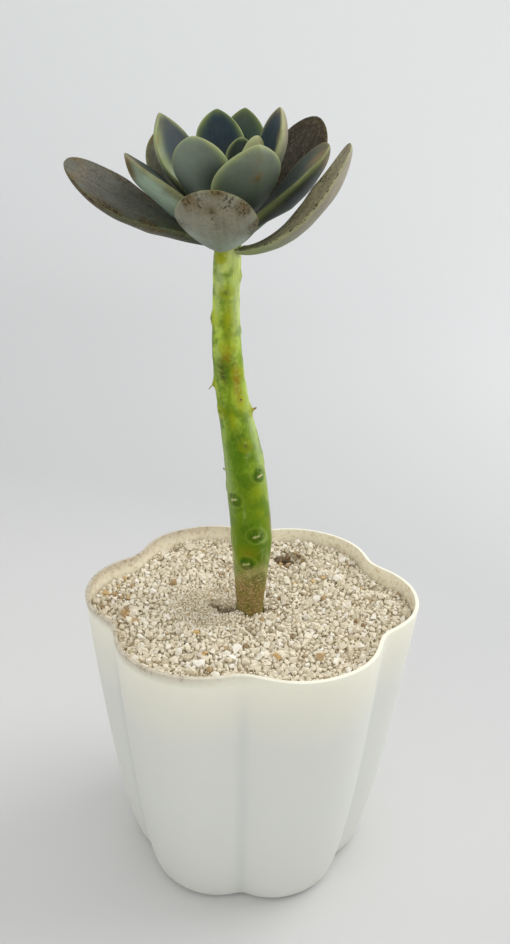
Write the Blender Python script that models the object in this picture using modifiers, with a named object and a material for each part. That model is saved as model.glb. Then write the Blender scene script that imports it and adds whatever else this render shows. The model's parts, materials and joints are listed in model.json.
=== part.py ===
"""Potted graptopetalum: one rosette of thick leaves on a bare, curved stem, in a six-lobed pot.

Metres, +Z up. The origin is the middle of the pot's underside, and the plant is seen from -Y.
"""
import math

import bmesh
import bpy
from mathutils import Vector, noise

MM = 0.001
CLEARANCE = 0.3 * MM
SOIL_CLEARANCE = 0.4 * MM
SHARP_ANGLE = math.radians(50.0)

# The pot flares from its foot into full lobes. Creases are shares of the lobes' own radius.
POT_RADIUS = 55.0 * MM
POT_HEIGHT = 95.0 * MM
FOOT_RADIUS = 38.4 * MM
FLARE = 0.62
WALL = 1.4 * MM
FOOT_ROUNDING = 2.2 * MM
LIP_ROUNDING = 0.45 * MM
LOBES = 6
POT_TURN = math.radians(-1.8)
FOOT_CREASE = 0.905
RIM_CREASE = 0.888
LOBE_FULLNESS = 2.3
FOOT_SOFTNESS = 0.1
RIM_SOFTNESS = 0.2

# Where the wall has rings of points: round it, round its foot, across its base and up its height.
AROUND_POT = 60
FOOT_STEPS = 3
BASE_SHARE = 0.45
WALL_SHARES = (0.06, 0.12, 0.26, 0.42, 0.6, 0.8)

DRAIN_RADIUS = 3.5 * MM
DRAIN_CIRCLE = 22.0 * MM
DRILL_DEPTH = 12.0 * MM
DRILL_SIDES = 16

MIX_TOP = 66.0 * MM
MIX_ROUNDING = 3.0 * MM
GRIT_SHOULDER = 84.0 * MM
GRIT_TOP = 89.5 * MM
GRIT_EDGE_RISE = 1.5 * MM
GRIT_LUMP = 5.5 * MM
GRIT_RELIEF = 1.45 * MM
GRIT_SLICE = 13.0 * MM
GRIT_RINGS = 14

STEM_BOTTOM = 50.0 * MM
STEM_AROUND = 16
STEM_STEP = 2.6 * MM
STEM_TIP = 0.5
STEM_HOLE = 4.9 * MM
SCAR_BUMP = 0.5 * MM
SCAR_WIDTH = 2.3 * MM
SCAR_HEIGHT = 1.7 * MM

# The stem from its buried end to the growing tip: height, sideways place and radius, in mm.
STEM_COURSE = (
    (50, -0.5, 4.5),
    (90, -0.5, 4.5),
    (102, -0.5, 5.5),
    (115, -0.5, 6.5),
    (130, -2, 6.5),
    (145, -4, 6),
    (160, -7, 5),
    (175, -9, 4.5),
    (190, -9.5, 4),
    (203, -9.3, 4),
    (211, -8.6, 3.4),
    (217, -7.9, 2.5),
    (221, -7.4, 1.5),
)

# Marks left by fallen leaves: height in mm and direction in degrees.
LEAF_SCARS = (
    (204, 240), (198, 20), (194, 275), (190, 110), (186, 205), (182, 40), (178, 275), (174, 130),
    (170, 305), (166, 190), (162, 70), (158, 350), (158, 220), (152, 120), (148, 285), (142, 30),
    (138, 315), (132, 150), (130, 230), (124, 60), (118, 285), (114, 160), (108, 255), (104, 100),
    (102, 300),
)

# A leaf's form. Places along it are shares of its length, depths are shares of its thickness.
LEAF_AROUND = 10
LEAF_RINGS = 10
LEAF_SPINE_STEPS = 80
LEAF_CROWDING = 0.55
LEAF_ROOT = 0.2
LEAF_ROOT_DEPTH = 0.45
LEAF_SHOULDER = 0.85
LEAF_WIDEST = 0.64
LEAF_BLUNTNESS = 2.2
LEAF_FULL_FROM = 0.4
LEAF_THINS_FROM = 0.55
LEAF_THINNING = 0.6
LEAF_EDGE = 0.22
LEAF_BELLY = 0.78
LEAF_BELLY_CURVE = 0.8
LEAF_CUP = 0.25
LEAF_KEEL = 0.12
LEAF_KEEL_SHARPNESS = 1.5
LEAF_LIFT = 0.15
LEAF_ROOT_ROLL = 0.4
LEAF_LEAN = 0.25

# Leaves from the lowest up. Each stands 137.5 degrees back from the one below, give or take 30.
# Degrees: direction, rise at the root and at the tip, roll, sideways bend. Millimetres: the rest.
# The last column is how sharp the tip is.
LEAF_COLUMNS = ("direction", "root_height", "length", "width", "thickness",
                "root_rise", "tip_rise", "rise_curve", "roll", "bend", "point")
LEAVES = (
    (105, 205, 44, 21, 6, 10, 45, 1, 0, 0, 0.6),
    (320, 206, 47, 20, 5, -5, 60, 0.5, 35, 5, 0.4),
    (195, 208, 46, 20, 6.5, 15, 35, 0.75, -30, 5, 0.5),
    (35, 209, 42, 18, 5, 35, 65, 0.75, 20, 0, 0.6),
    (266, 208, 42, 21, 6, 5, 40, 1, 0, 0, 0.6),
    (140, 211, 36, 19, 5.5, 30, 70, 1, -20, 0, 0.7),
    (355, 212, 32, 18, 6.5, 35, 50, 0.5, 10, 5, 0.4),
    (210, 210.5, 33, 18, 6.5, 40, 33, 1, -15, 0, 0.3),
    (82, 213, 36, 15, 5, 45, 75, 1, 0, 0, 0.8),
    (285, 211, 29, 21, 5.5, 45, 60, 1, 10, 15, 0.8),
    (170, 213, 33, 21, 5.5, 50, 70, 1, -20, 10, 0.9),
    (5, 215, 30, 17, 6, 65, 80, 1, 15, 0, 0.8),
    (238, 213, 27, 18, 5, 45, 70, 1, 5, 0, 0.7),
    (110, 217, 29, 15, 5, 55, 75, 1, 0, 0, 0.8),
    (320, 218, 19, 9, 3, 70, 75, 1, 0, -5, 0.6),
    (200, 217, 10, 7, 3, 75, 90, 1, 0, 0, 0.8),
    (70, 219, 17, 9, 3, 75, 85, 1, 0, 0, 0.7),
)
OUTER_LEAVES = 8

# The bud's leaves have the same form, start on its core and close over the middle.
BUD_LEAVES = 3
BUD_TURN = 20
BUD_LEAF = {"length": 5.0, "width": 3.2, "thickness": 2.0, "root_rise": 58, "tip_rise": 100,
            "rise_curve": 1.0, "roll": 0, "bend": 0, "point": 0.8}
BUD_LEAF_RINGS = 7
BUD_LEAF_AROUND = 8
BUD_CORE = 1.5 * MM
BUD_CORE_SEGMENTS = 10
BUD_CORE_RINGS = 6
BUD_LEAF_OUT = 0.5 * MM
BUD_LEAF_UP = 0.9 * MM


def make_material(name, rgb, roughness):
    material = bpy.data.materials.new(name)
    material.use_nodes = True
    shader = material.node_tree.nodes["Principled BSDF"]
    shader.inputs["Base Color"].default_value = (*rgb, 1.0)
    shader.inputs["Roughness"].default_value = roughness
    material.diffuse_color = (*rgb, 1.0)
    return material


def add_object(name, builder, collection, material=None, location=(0.0, 0.0, 0.0)):
    """Turns a bmesh into a named object, faces pointing out, in the given collection."""
    bmesh.ops.recalc_face_normals(builder, faces=builder.faces)
    mesh = bpy.data.meshes.new(name)
    builder.to_mesh(mesh)
    builder.free()
    piece = bpy.data.objects.new(name, mesh)
    piece.location = location
    if material:
        mesh.materials.append(material)
    collection.objects.link(piece)
    return piece


def loft(rings, ends="capped"):
    """Skins rings of equally many points. A ring of one point closes the skin to that point.

    The end rings are capped, left open, or joined to each other round a hole.
    """
    builder = bmesh.new()
    rows = [[builder.verts.new(point) for point in ring] for ring in rings]
    pairs = list(zip(rows, rows[1:]))
    if ends == "joined":
        pairs.append((rows[-1], rows[0]))
    for lower, upper in pairs:
        count = max(len(lower), len(upper))
        for i in range(count):
            j = (i + 1) % count
            corners = [lower[i % len(lower)], lower[j % len(lower)],
                       upper[j % len(upper)], upper[i % len(upper)]]
            builder.faces.new(list(dict.fromkeys(corners)))
    if ends == "capped":
        for row in (rows[0], rows[-1]):
            if len(row) > 1:
                builder.faces.new(row)
    return builder


def through_points(table, height):
    """Smooth values at a height, through rows whose first entry is the height."""
    last = len(table) - 1
    height = min(max(height, table[0][0]), table[last][0])
    i = max(k for k in range(last) if table[k][0] <= height)
    here, there = table[i], table[i + 1]
    before, after = table[max(i - 1, 0)], table[min(i + 2, last)]
    span = there[0] - here[0]
    t = (height - here[0]) / span
    values = []
    for k in range(1, len(here)):
        slope_here = (there[k] - before[k]) / (there[0] - before[0]) * span
        slope_there = (after[k] - here[k]) / (after[0] - here[0]) * span
        values.append((2 * t**3 - 3 * t**2 + 1) * here[k] + (t**3 - 2 * t**2 + t) * slope_here
                      + (3 * t**2 - 2 * t**3) * there[k] + (t**3 - t**2) * slope_there)
    return values


def angles(count):
    return [2 * math.pi * i / count for i in range(count)]


def pot_angles():
    """Directions round the pot, with one on each crease and one on each lobe's middle."""
    return [POT_TURN + a for a in angles(AROUND_POT)]


def pot_radius(angle, height):
    """Outer radius of the lobed wall in a direction, at a height."""
    share = max(0.0, min(1.0, height / POT_HEIGHT))
    lobe_radius = FOOT_RADIUS + (POT_RADIUS - FOOT_RADIUS) * share**FLARE
    crease = FOOT_CREASE + (RIM_CREASE - FOOT_CREASE) * share
    half_lobe = math.pi / LOBES
    from_lobe = abs((angle - POT_TURN + half_lobe) % (2 * half_lobe) - half_lobe) / half_lobe
    soft = FOOT_SOFTNESS + (RIM_SOFTNESS - FOOT_SOFTNESS) * share
    from_crease = (math.hypot(1.0 - from_lobe, soft) - soft) / (math.hypot(1.0, soft) - soft)
    return lobe_radius * (crease + (1.0 - crease) * (1.0 - (1.0 - from_crease)**LOBE_FULLNESS))


def pot_wall_point(angle, height, inset=0.0):
    """A point on the wall at a height, moved in square to the wall by the inset."""
    turn_step = 1e-4
    rise_step = 0.5 * MM
    radius = pot_radius(angle, height)
    turn = pot_radius(angle + turn_step, height) - pot_radius(angle - turn_step, height)
    slope = (pot_radius(angle, height + rise_step) - radius) / rise_step
    out = Vector((math.cos(angle), math.sin(angle), 0.0))
    along = Vector((-math.sin(angle), math.cos(angle), 0.0))
    normal = (out - along * (turn / (2 * turn_step * radius))).normalized()
    place = out * radius - normal * (inset * math.hypot(1.0, slope))
    return Vector((place.x, place.y, height))


def wall_ring(height, inset=0.0):
    return [pot_wall_point(a, height, inset) for a in pot_angles()]


def foot_rings(bottom, rounding, inset=0.0):
    """The quarter round from a flat underside up to the wall."""
    rings = []
    for k in range(FOOT_STEPS + 1):
        bend = math.pi / 2 * k / FOOT_STEPS
        height = bottom + rounding * (1 - math.cos(bend))
        rings.append(wall_ring(height, inset + rounding * (1 - math.sin(bend))))
    return rings


def wall_rings(bottom, top, inset=0.0):
    """Rings up the wall between two heights, and one at the upper height."""
    between = [share * POT_HEIGHT for share in WALL_SHARES]
    heights = [height for height in between if bottom < height < top]
    return [wall_ring(height, inset) for height in heights + [top]]


def make_drain_cutters(cutters):
    for number, turn in enumerate(angles(LOBES), start=1):
        angle = POT_TURN + turn
        drill = bmesh.new()
        bmesh.ops.create_cone(drill, cap_ends=True, segments=DRILL_SIDES, radius1=DRAIN_RADIUS,
                              radius2=DRAIN_RADIUS, depth=DRILL_DEPTH)
        place = (DRAIN_CIRCLE * math.cos(angle), DRAIN_CIRCLE * math.sin(angle), 0.0)
        cutter = add_object(f"drain_cutter_{number}", drill, cutters, location=place)
        cutter.hide_render = True
        cutter.display_type = "WIRE"


def make_pot(collection, cutters, material):
    """The lobed shell: an open skin from the middle of the base to the lip, made solid inwards."""
    foot = foot_rings(0.0, FOOT_ROUNDING)
    base = [[Vector((0.0, 0.0, 0.0))], [point * BASE_SHARE for point in foot[0]]]
    skin = base + foot + wall_rings(FOOT_ROUNDING, POT_HEIGHT)
    pot = add_object("pot", loft(skin, ends="open"), collection, material)
    make_drain_cutters(cutters)

    shell = pot.modifiers.new("wall", "SOLIDIFY")
    shell.thickness = WALL
    shell.offset = -1.0
    shell.use_even_offset = True
    drains = pot.modifiers.new("drain_holes", "BOOLEAN")
    drains.operation = "DIFFERENCE"
    drains.operand_type = "COLLECTION"
    drains.collection = cutters
    rounding = pot.modifiers.new("lip_rounding", "BEVEL")
    rounding.width = LIP_ROUNDING
    rounding.segments = 2
    rounding.limit_method = "ANGLE"
    rounding.angle_limit = math.radians(60.0)


def stem_axis(height):
    """Centre and radius of the stem at a height."""
    x, radius = through_points(STEM_COURSE, height / MM)
    return Vector((x * MM, 0.0, height)), radius * MM


def stem_hole(height):
    """A ring of the plain round hole in the soil that the stem stands in."""
    centre, _ = stem_axis(STEM_BOTTOM)
    return [Vector((centre.x + STEM_HOLE * math.cos(a), STEM_HOLE * math.sin(a), height))
            for a in pot_angles()]


def make_potting_mix(collection, material):
    """The mix fills the lower pot and has a blind hole for the stem's end."""
    floor = WALL + CLEARANCE
    inset = WALL + SOIL_CLEARANCE
    rings = foot_rings(floor, MIX_ROUNDING, inset)
    rings += wall_rings(floor + MIX_ROUNDING, MIX_TOP, inset)
    rings += [stem_hole(MIX_TOP), stem_hole(STEM_BOTTOM - CLEARANCE)]
    add_object("potting_mix", loft(rings), collection, material)


def grit_height(x, y):
    """Surface of the grit: low lumps, and a rise from the middle to the edge."""
    lumps = noise.noise(Vector((x, y, GRIT_SLICE)) / GRIT_LUMP)
    from_half_way = math.hypot(x, y) / POT_RADIUS - 0.5
    return GRIT_TOP + GRIT_EDGE_RISE * from_half_way + GRIT_RELIEF * lumps


def make_gravel(collection, material):
    """The layer of pumice grit on top, with a hole that the stem passes through."""
    inset = WALL + SOIL_CLEARANCE
    bottom = MIX_TOP + CLEARANCE
    hole = stem_hole(bottom)
    rings = [hole, wall_ring(bottom, inset)] + wall_rings(bottom, GRIT_SHOULDER, inset)
    rim = wall_ring(GRIT_TOP, inset)
    for k in range(GRIT_RINGS + 1):
        ring = [edge.lerp(middle, k / GRIT_RINGS) for edge, middle in zip(rim, hole)]
        for point in ring:
            point.z = grit_height(point.x, point.y)
        rings.append(ring)
    add_object("gravel", loft(rings, ends="joined"), collection, material)


def scar_bump(angle, height, radius):
    """How far the skin swells over the leaf scars near a place on the stem."""
    bump = 0.0
    for scar_height, direction in LEAF_SCARS:
        turn = (angle - math.radians(direction) + math.pi) % (2 * math.pi) - math.pi
        across = turn * radius / SCAR_WIDTH
        up = (height - scar_height * MM) / SCAR_HEIGHT
        bump += SCAR_BUMP * math.exp(-across**2 - up**2)
    return bump


def make_stem(collection, material):
    """A bare stem that swells where leaves were, thin at both ends."""
    top = STEM_COURSE[-1][0] * MM
    steps = round((top - STEM_BOTTOM) / STEM_STEP)
    rings = []
    for k in range(steps + 1):
        height = STEM_BOTTOM + (top - STEM_BOTTOM) * k / steps
        centre, radius = stem_axis(height)
        ring = []
        for a in angles(STEM_AROUND):
            out = Vector((math.cos(a), math.sin(a), 0.0))
            ring.append(centre + out * (radius + scar_bump(a, height, radius)))
        rings.append(ring)
    centre, radius = stem_axis(top)
    rings.append([centre + Vector((0.0, 0.0, STEM_TIP * radius))])
    add_object("stem", loft(rings), collection, material)


def leaf_frame(leaf, share):
    """Which way a leaf runs, its left side and its upper side, part of the way along it."""
    rise = leaf["root_rise"] + (leaf["tip_rise"] - leaf["root_rise"]) * share**leaf["rise_curve"]
    rise = math.radians(rise)
    turn = math.radians(leaf["direction"] + leaf["bend"] * share)
    roll = math.radians(leaf["roll"]) * min(1.0, LEAF_ROOT_ROLL + share)
    along = Vector((math.cos(rise) * math.cos(turn), math.cos(rise) * math.sin(turn),
                    math.sin(rise)))
    left = Vector((-math.sin(turn), math.cos(turn), 0.0))
    up = along.cross(left)
    return along, left * math.cos(roll) + up * math.sin(roll), up * math.cos(roll) - left * math.sin(roll)


def leaf_spine(leaf):
    """Points along a leaf's middle, from its root at the origin to its tip."""
    step = leaf["length"] * MM / LEAF_SPINE_STEPS
    spine = [Vector((0.0, 0.0, 0.0))]
    for k in range(LEAF_SPINE_STEPS):
        along = leaf_frame(leaf, (k + 0.5) / LEAF_SPINE_STEPS)[0]
        spine.append(spine[-1] + along * step)
    return spine


def leaf_breadth(share, point):
    """Width along a leaf, from its narrow root to its tip, as a share of the greatest."""
    if share < LEAF_WIDEST:
        k = share / LEAF_WIDEST
        return LEAF_ROOT + (1 - LEAF_ROOT) * (k * k * (3 - 2 * k))**LEAF_SHOULDER
    k = (share - LEAF_WIDEST) / (1 - LEAF_WIDEST)
    return max(0.0, 1 - k**LEAF_BLUNTNESS)**point


def leaf_depth(share):
    """Thickness along a leaf: it swells from the root, stays even and thins to the tip."""
    swelling = LEAF_ROOT_DEPTH + (1 - LEAF_ROOT_DEPTH) * min(1.0, share / LEAF_FULL_FROM)
    k = max(0.0, (share - LEAF_THINS_FROM) / (1 - LEAF_THINS_FROM))
    return swelling * max(0.0, 1 - k**LEAF_BLUNTNESS)**LEAF_THINNING


def leaf_section(leaf, share, around):
    """One section as sideways places and lifts: a little cupped above, deep and keeled below."""
    half = leaf["width"] / 2 * MM * leaf_breadth(share, leaf["point"])
    depth = leaf["thickness"] * MM * leaf_depth(share)
    edge = LEAF_EDGE * depth
    keel = LEAF_KEEL * depth * min(1.0, share / LEAF_FULL_FROM)
    section = []
    for a in angles(around):
        x, y = math.cos(a), math.sin(a)
        bulge = 1 - x * x
        if y >= 0:
            lift = edge * y - LEAF_CUP * depth * bulge
        else:
            ridge = max(0.0, 1 - LEAF_KEEL_SHARPNESS * abs(x))**LEAF_KEEL_SHARPNESS
            lift = edge * y - (LEAF_BELLY * depth - edge) * bulge**LEAF_BELLY_CURVE - keel * ridge
        section.append((x * half, lift + LEAF_LIFT * depth))
    return section


def leaf_rings(leaf, ring_count=LEAF_RINGS, around=LEAF_AROUND):
    """A leaf's sections, closer together towards its tip, with its root at the origin."""
    spine = leaf_spine(leaf)
    rings = []
    for k in range(ring_count - 1):
        even = k / (ring_count - 1)
        share = LEAF_CROWDING * math.sin(even * math.pi / 2) + (1 - LEAF_CROWDING) * even
        whole = int(share * LEAF_SPINE_STEPS)
        centre = spine[whole].lerp(spine[whole + 1], share * LEAF_SPINE_STEPS - whole)
        _, left, up = leaf_frame(leaf, share)
        section = leaf_section(leaf, share, around)
        rings.append([centre + left * sideways + up * lift for sideways, lift in section])
    return rings + [[spine[-1]]]


def leaf_root(leaf):
    """Where a leaf starts: just off the stem's skin on the side that it faces."""
    centre, radius = stem_axis(leaf["root_height"] * MM)
    turn = math.radians(leaf["direction"])
    tilt = abs(math.sin(math.radians(leaf["root_rise"])))
    lean = LEAF_LEAN * LEAF_ROOT_DEPTH * leaf["thickness"] * MM * tilt
    out = Vector((math.cos(turn), math.sin(turn), 0.0))
    return centre + out * (radius + CLEARANCE + lean)


def make_leaves(collection, outer_material, inner_material):
    for number, row in enumerate(LEAVES, start=1):
        leaf = dict(zip(LEAF_COLUMNS, row))
        material = outer_material if number <= OUTER_LEAVES else inner_material
        add_object(f"leaf_{number:02d}", loft(leaf_rings(leaf)), collection, material,
                   location=leaf_root(leaf))


def make_bud(collection, material):
    """The youngest leaves, still closed together on the growing tip and joined in one piece."""
    centre, radius = stem_axis(STEM_COURSE[-1][0] * MM)
    foot = centre + Vector((0.0, 0.0, STEM_TIP * radius + CLEARANCE))
    core = bmesh.new()
    bmesh.ops.create_uvsphere(core, u_segments=BUD_CORE_SEGMENTS, v_segments=BUD_CORE_RINGS,
                              radius=BUD_CORE)
    bmesh.ops.translate(core, verts=core.verts, vec=(0.0, 0.0, BUD_CORE))
    bud = add_object("bud", core, collection, material, location=foot)

    bud_leaves = bpy.data.collections.new("bud_leaves")
    bpy.context.scene.collection.children.link(bud_leaves)
    for number in range(1, BUD_LEAVES + 1):
        direction = BUD_TURN + 360 * number / BUD_LEAVES
        leaf = {"direction": direction, **BUD_LEAF}
        angle = math.radians(direction)
        place = Vector((BUD_LEAF_OUT * math.cos(angle), BUD_LEAF_OUT * math.sin(angle), BUD_LEAF_UP))
        shape = loft(leaf_rings(leaf, BUD_LEAF_RINGS, BUD_LEAF_AROUND))
        add_object(f"bud_leaf_{number}", shape, bud_leaves, material, location=foot + place)

    join = bud.modifiers.new("join", "BOOLEAN")
    join.operation = "UNION"
    join.operand_type = "COLLECTION"
    join.collection = bud_leaves
    evaluated = bud.evaluated_get(bpy.context.evaluated_depsgraph_get())
    joined = bpy.data.meshes.new_from_object(evaluated)
    bud.modifiers.remove(join)
    bud.data = joined
    for bud_leaf in list(bud_leaves.objects):
        bpy.data.objects.remove(bud_leaf)
    bpy.data.collections.remove(bud_leaves)


def main():
    for old in list(bpy.data.objects):
        bpy.data.objects.remove(old)
    plant = bpy.data.collections.new("potted_graptopetalum")
    cutters = bpy.data.collections.new("cutters")
    for collection in (plant, cutters):
        bpy.context.scene.collection.children.link(collection)

    plastic = make_material("pot_plastic", (0.83, 0.83, 0.79), 0.38)
    mix = make_material("potting_mix", (0.10, 0.07, 0.05), 0.95)
    grit = make_material("pumice_grit", (0.62, 0.58, 0.51), 0.95)
    stem_skin = make_material("stem_skin", (0.22, 0.34, 0.05), 0.5)
    outer_skin = make_material("outer_leaf_skin", (0.20, 0.19, 0.14), 0.55)
    inner_skin = make_material("inner_leaf_skin", (0.14, 0.20, 0.17), 0.55)

    make_pot(plant, cutters, plastic)
    make_potting_mix(plant, mix)
    make_gravel(plant, grit)
    make_stem(plant, stem_skin)
    make_leaves(plant, outer_skin, inner_skin)
    make_bud(plant, inner_skin)
    for piece in plant.objects:
        piece.data.shade_smooth()
        piece.data.set_sharp_from_angle(angle=SHARP_ANGLE)


main()
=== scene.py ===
# %% [markdown]
# # A potted graptopetalum
#
# A rosette of thick waxy leaves on a bare stem, in a white pot topped with pumice grit. The plain
# solids of the plant are loaded first and keep their form. Each step below makes one piece as it
# looks in life, in the place of its plain solid.

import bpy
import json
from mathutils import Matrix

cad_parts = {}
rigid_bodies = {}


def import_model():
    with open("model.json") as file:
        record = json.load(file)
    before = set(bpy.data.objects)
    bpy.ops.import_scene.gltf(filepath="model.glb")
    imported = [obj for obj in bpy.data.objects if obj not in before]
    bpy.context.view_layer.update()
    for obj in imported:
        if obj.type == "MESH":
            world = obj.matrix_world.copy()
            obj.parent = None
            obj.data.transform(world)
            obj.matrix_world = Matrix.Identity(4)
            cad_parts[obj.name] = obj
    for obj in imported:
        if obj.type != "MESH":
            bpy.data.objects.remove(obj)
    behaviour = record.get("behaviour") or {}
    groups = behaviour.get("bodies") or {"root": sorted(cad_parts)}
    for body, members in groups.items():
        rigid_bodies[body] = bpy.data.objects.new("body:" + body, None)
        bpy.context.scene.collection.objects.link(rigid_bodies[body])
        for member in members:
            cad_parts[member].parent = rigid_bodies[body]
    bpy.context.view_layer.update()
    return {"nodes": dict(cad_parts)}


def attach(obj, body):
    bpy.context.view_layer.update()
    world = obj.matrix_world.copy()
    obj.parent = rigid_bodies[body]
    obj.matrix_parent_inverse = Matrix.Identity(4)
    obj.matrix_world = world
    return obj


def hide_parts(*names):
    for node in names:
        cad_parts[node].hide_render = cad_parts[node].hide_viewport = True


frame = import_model()
print("solids:", ", ".join(sorted(frame["nodes"])))

# %% Modules and units
import functools
import json
import math
import random

import bmesh
import bpy
import numpy as np
from mathutils import Matrix, Quaternion, Vector, noise

MM = 0.001
TURN = 2 * math.pi

# %% [markdown]
# ## Small tools
#
# Colours are written as sRGB hex, as a paint chart gives them. Shaders count light, so one function
# makes them linear. Another adds a node with its settings and links, so that a material reads as a
# list of what is mixed with what. A Mix node takes its share at input 0 and its two colours at
# inputs 6 and 7, and gives the mixed colour at output 2.

# %% Colours, nodes and materials
RGBA = {"take": 2, "data_type": "RGBA"}


def linear(hex_colour):
    """An sRGB hex colour as linear red, green, blue and alpha."""
    parts = [int(hex_colour[i:i + 2], 16) / 255 for i in (1, 3, 5)]
    return (*[c / 12.92 if c <= 0.04045 else ((c + 0.055) / 1.055)**2.4 for c in parts], 1.0)


def plug(node, inputs):
    """Gives a node's inputs their values, or links from other nodes."""
    for name, value in inputs.items():
        if isinstance(value, bpy.types.NodeSocket):
            node.id_data.links.new(value, node.inputs[name])
        else:
            node.inputs[name].default_value = value


def add_node(tree, kind, inputs=None, take=0, stops=(), **settings):
    """Adds a node with its settings, inputs and colour stops, and returns the output to take."""
    node = tree.nodes.new("ShaderNode" + kind)
    for name, value in settings.items():
        setattr(node, name, value)
    plug(node, inputs or {})
    if stops:
        elements = node.color_ramp.elements
        elements[0].position, elements[1].position = stops[0][0], stops[-1][0]
        for place, _ in stops[1:-1]:
            elements.new(place)
        for element, (_, hex_colour) in zip(elements, stops):
            element.color = linear(hex_colour)
    return node.outputs[take]


def new_material(name, **constants):
    """A material with constant shader values. Returns it, what adds its nodes, and its shader."""
    material = bpy.data.materials.new(name)
    material.use_nodes = True
    shader = material.node_tree.nodes["Principled BSDF"]
    plug(shader, {socket.replace("_", " "): value for socket, value in constants.items()})
    return material, functools.partial(add_node, material.node_tree), shader


# %% Meshes
def angles(count):
    return [TURN * i / count for i in range(count)]


def outward(angle):
    """The level way out in a direction, and the way to its left."""
    return (Vector((math.cos(angle), math.sin(angle), 0.0)),
        Vector((-math.sin(angle), math.cos(angle), 0.0)))


def loft(rings, ends="capped", builder=None):
    """Skins rings of equally many points. A ring of one point closes the skin to that point.

    The end rings are capped, left open, or joined to each other round a hole.
    """
    builder = builder or bmesh.new()
    rows = [[builder.verts.new(point) for point in ring] for ring in rings]
    pairs = list(zip(rows, rows[1:]))
    if ends == "joined":
        pairs.append((rows[-1], rows[0]))
    for lower, upper in pairs:
        count = max(len(lower), len(upper))
        for i in range(count):
            j = (i + 1) % count
            corners = [lower[i % len(lower)], lower[j % len(lower)], upper[j % len(upper)],
                upper[i % len(upper)]]
            builder.faces.new(list(dict.fromkeys(corners)))
    if ends == "capped":
        for row in (rows[0], rows[-1]):
            if len(row) > 1:
                builder.faces.new(row)
    bmesh.ops.recalc_face_normals(builder, faces=builder.faces)
    return builder


def add_piece(name, builder, material, location=(0.0, 0.0, 0.0), sharp=40.0):
    """Turns a bmesh into a smooth object in the scene, with edges above an angle kept sharp."""
    mesh = bpy.data.meshes.new(name)
    builder.to_mesh(mesh)
    builder.free()
    mesh.materials.append(material)
    mesh.shade_smooth()
    mesh.set_sharp_from_angle(angle=math.radians(sharp))
    piece = bpy.data.objects.new(name, mesh)
    piece.location = location
    bpy.context.scene.collection.objects.link(piece)
    return piece


def paint(piece, name, values):
    """Keeps one number for each vertex under a name that the materials read."""
    layer = piece.data.attributes.new(name, "FLOAT", "POINT")
    layer.data.foreach_set("value", np.asarray(values, np.float32))


def dress(piece, slot, *nodes):
    """Hangs a finished piece on the plant, in the place of its plain solids."""
    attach(piece, "root")
    if nodes:
        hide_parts(*nodes)
    print(f"{piece.name}: {len(piece.data.polygons)} faces")


def smooth_step(low, high, value):
    t = min(1.0, max(0.0, (value - low) / (high - low)))
    return t * t * (3 - 2 * t)


# %% [markdown]
# ## The pot's plastic
#
# The pot is injection moulded polypropylene: white, a little waxy, with a soft sheen. Light gets
# into its thin wall, so the rim looks warm and creamy, and the wall in front of the dark mix looks
# cooler. The colour is painted paler and creamier toward the rim for this, as painted light. The
# creases are painted bluish grey as painted shade, and the lip is painted brown, more so to the
# left. Inside, dust and a dried water line have stained it.

# %% Polypropylene
POT_HEIGHT = 95.0 * MM
POLYPROPYLENE_IOR = 1.49


def moulded_polypropylene():
    material, add, shader = new_material("moulded_polypropylene", IOR=POLYPROPYLENE_IOR,
        Subsurface_Weight=0.12, Subsurface_Scale=2.0 * MM, Subsurface_Radius=(1.0, 0.9, 0.7))
    place = add("TexCoord", take="Object")
    height = add("SeparateXYZ", {"Vector": place}, "Z")
    clouds = add("TexNoise", {"Vector": place, "Scale": 1 / (28 * MM), "Detail": 3.0})
    wavering = add("Math", {0: clouds, 1: 12 * MM, 2: height}, operation="MULTIPLY_ADD")
    up = add("MapRange", {"Value": wavering, "From Min": 6 * MM, "From Max": POT_HEIGHT + 6 * MM})
    # The outside colour pales and warms toward the rim: painted light for the light that gets
    # through the thin wall.
    outside_painted_light = add("ValToRGB", {"Fac": up}, stops=((0.0, "#DBDCD4"), (0.45, "#DFE0D9"),
        (0.72, "#E1E1D9"), (0.86, "#EBE9DA"), (1.0, "#F6F3E0")))
    dirt = add("TexNoise", {"Vector": place, "Scale": 1 / (1.6 * MM), "Detail": 6.0,
        "Roughness": 0.75})
    specks = add("MapRange", {"Value": dirt, "From Min": 0.5, "From Max": 0.7})
    inner = add("Mix", {0: specks, 6: linear("#F6EED8"), 7: linear("#C9B48C")}, **RGBA)
    inside = add("Attribute", take="Fac", attribute_name="inside")
    clean = add("Mix", {0: inside, 6: outside_painted_light, 7: inner}, **RGBA)
    # The creases are painted bluish grey: painted shade.
    crease = add("Attribute", take="Fac", attribute_name="crease")
    crease_shaded = add("Mix", {0: crease, 6: clean, 7: linear("#BBC1C2")}, **RGBA)
    # The lip and the dried water line inside are painted brown, both more so to the left.
    lip_and_water_line = add("Attribute", take="Fac", attribute_name="lip_and_water_line")
    flecked = add("MapRange", {"Value": specks, "To Min": 0.5})
    broken = add("Math", {0: lip_and_water_line, 1: flecked}, operation="MULTIPLY")
    stained = add("Mix", {0: broken, 6: crease_shaded, 7: linear("#7D5F39")}, **RGBA)
    scuffs = add("TexNoise", {"Vector": place, "Scale": 1 / (9 * MM), "Detail": 4.0})
    gloss = add("MapRange", {"Value": scuffs, "To Min": 0.34, "To Max": 0.5})
    ripple = add("Bump", {"Height": clouds, "Strength": 0.25, "Distance": 0.3 * MM})
    plug(shader, {"Base Color": stained, "Roughness": gloss, "Normal": ripple})
    return material


polypropylene = moulded_polypropylene()
print("made", polypropylene.name)

# %% [markdown]
# ## The pot
#
# Seen from above, the pot is a flower of six lobes. A lathe can't turn lobes, so one formula gives
# the wall's radius in every direction at every height: a flare from foot to rim, and six soft
# creases. A Solidify modifier makes that skin as thick as the moulding, a Boolean drills the drain
# holes, and a Bevel rounds the lip.

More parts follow.
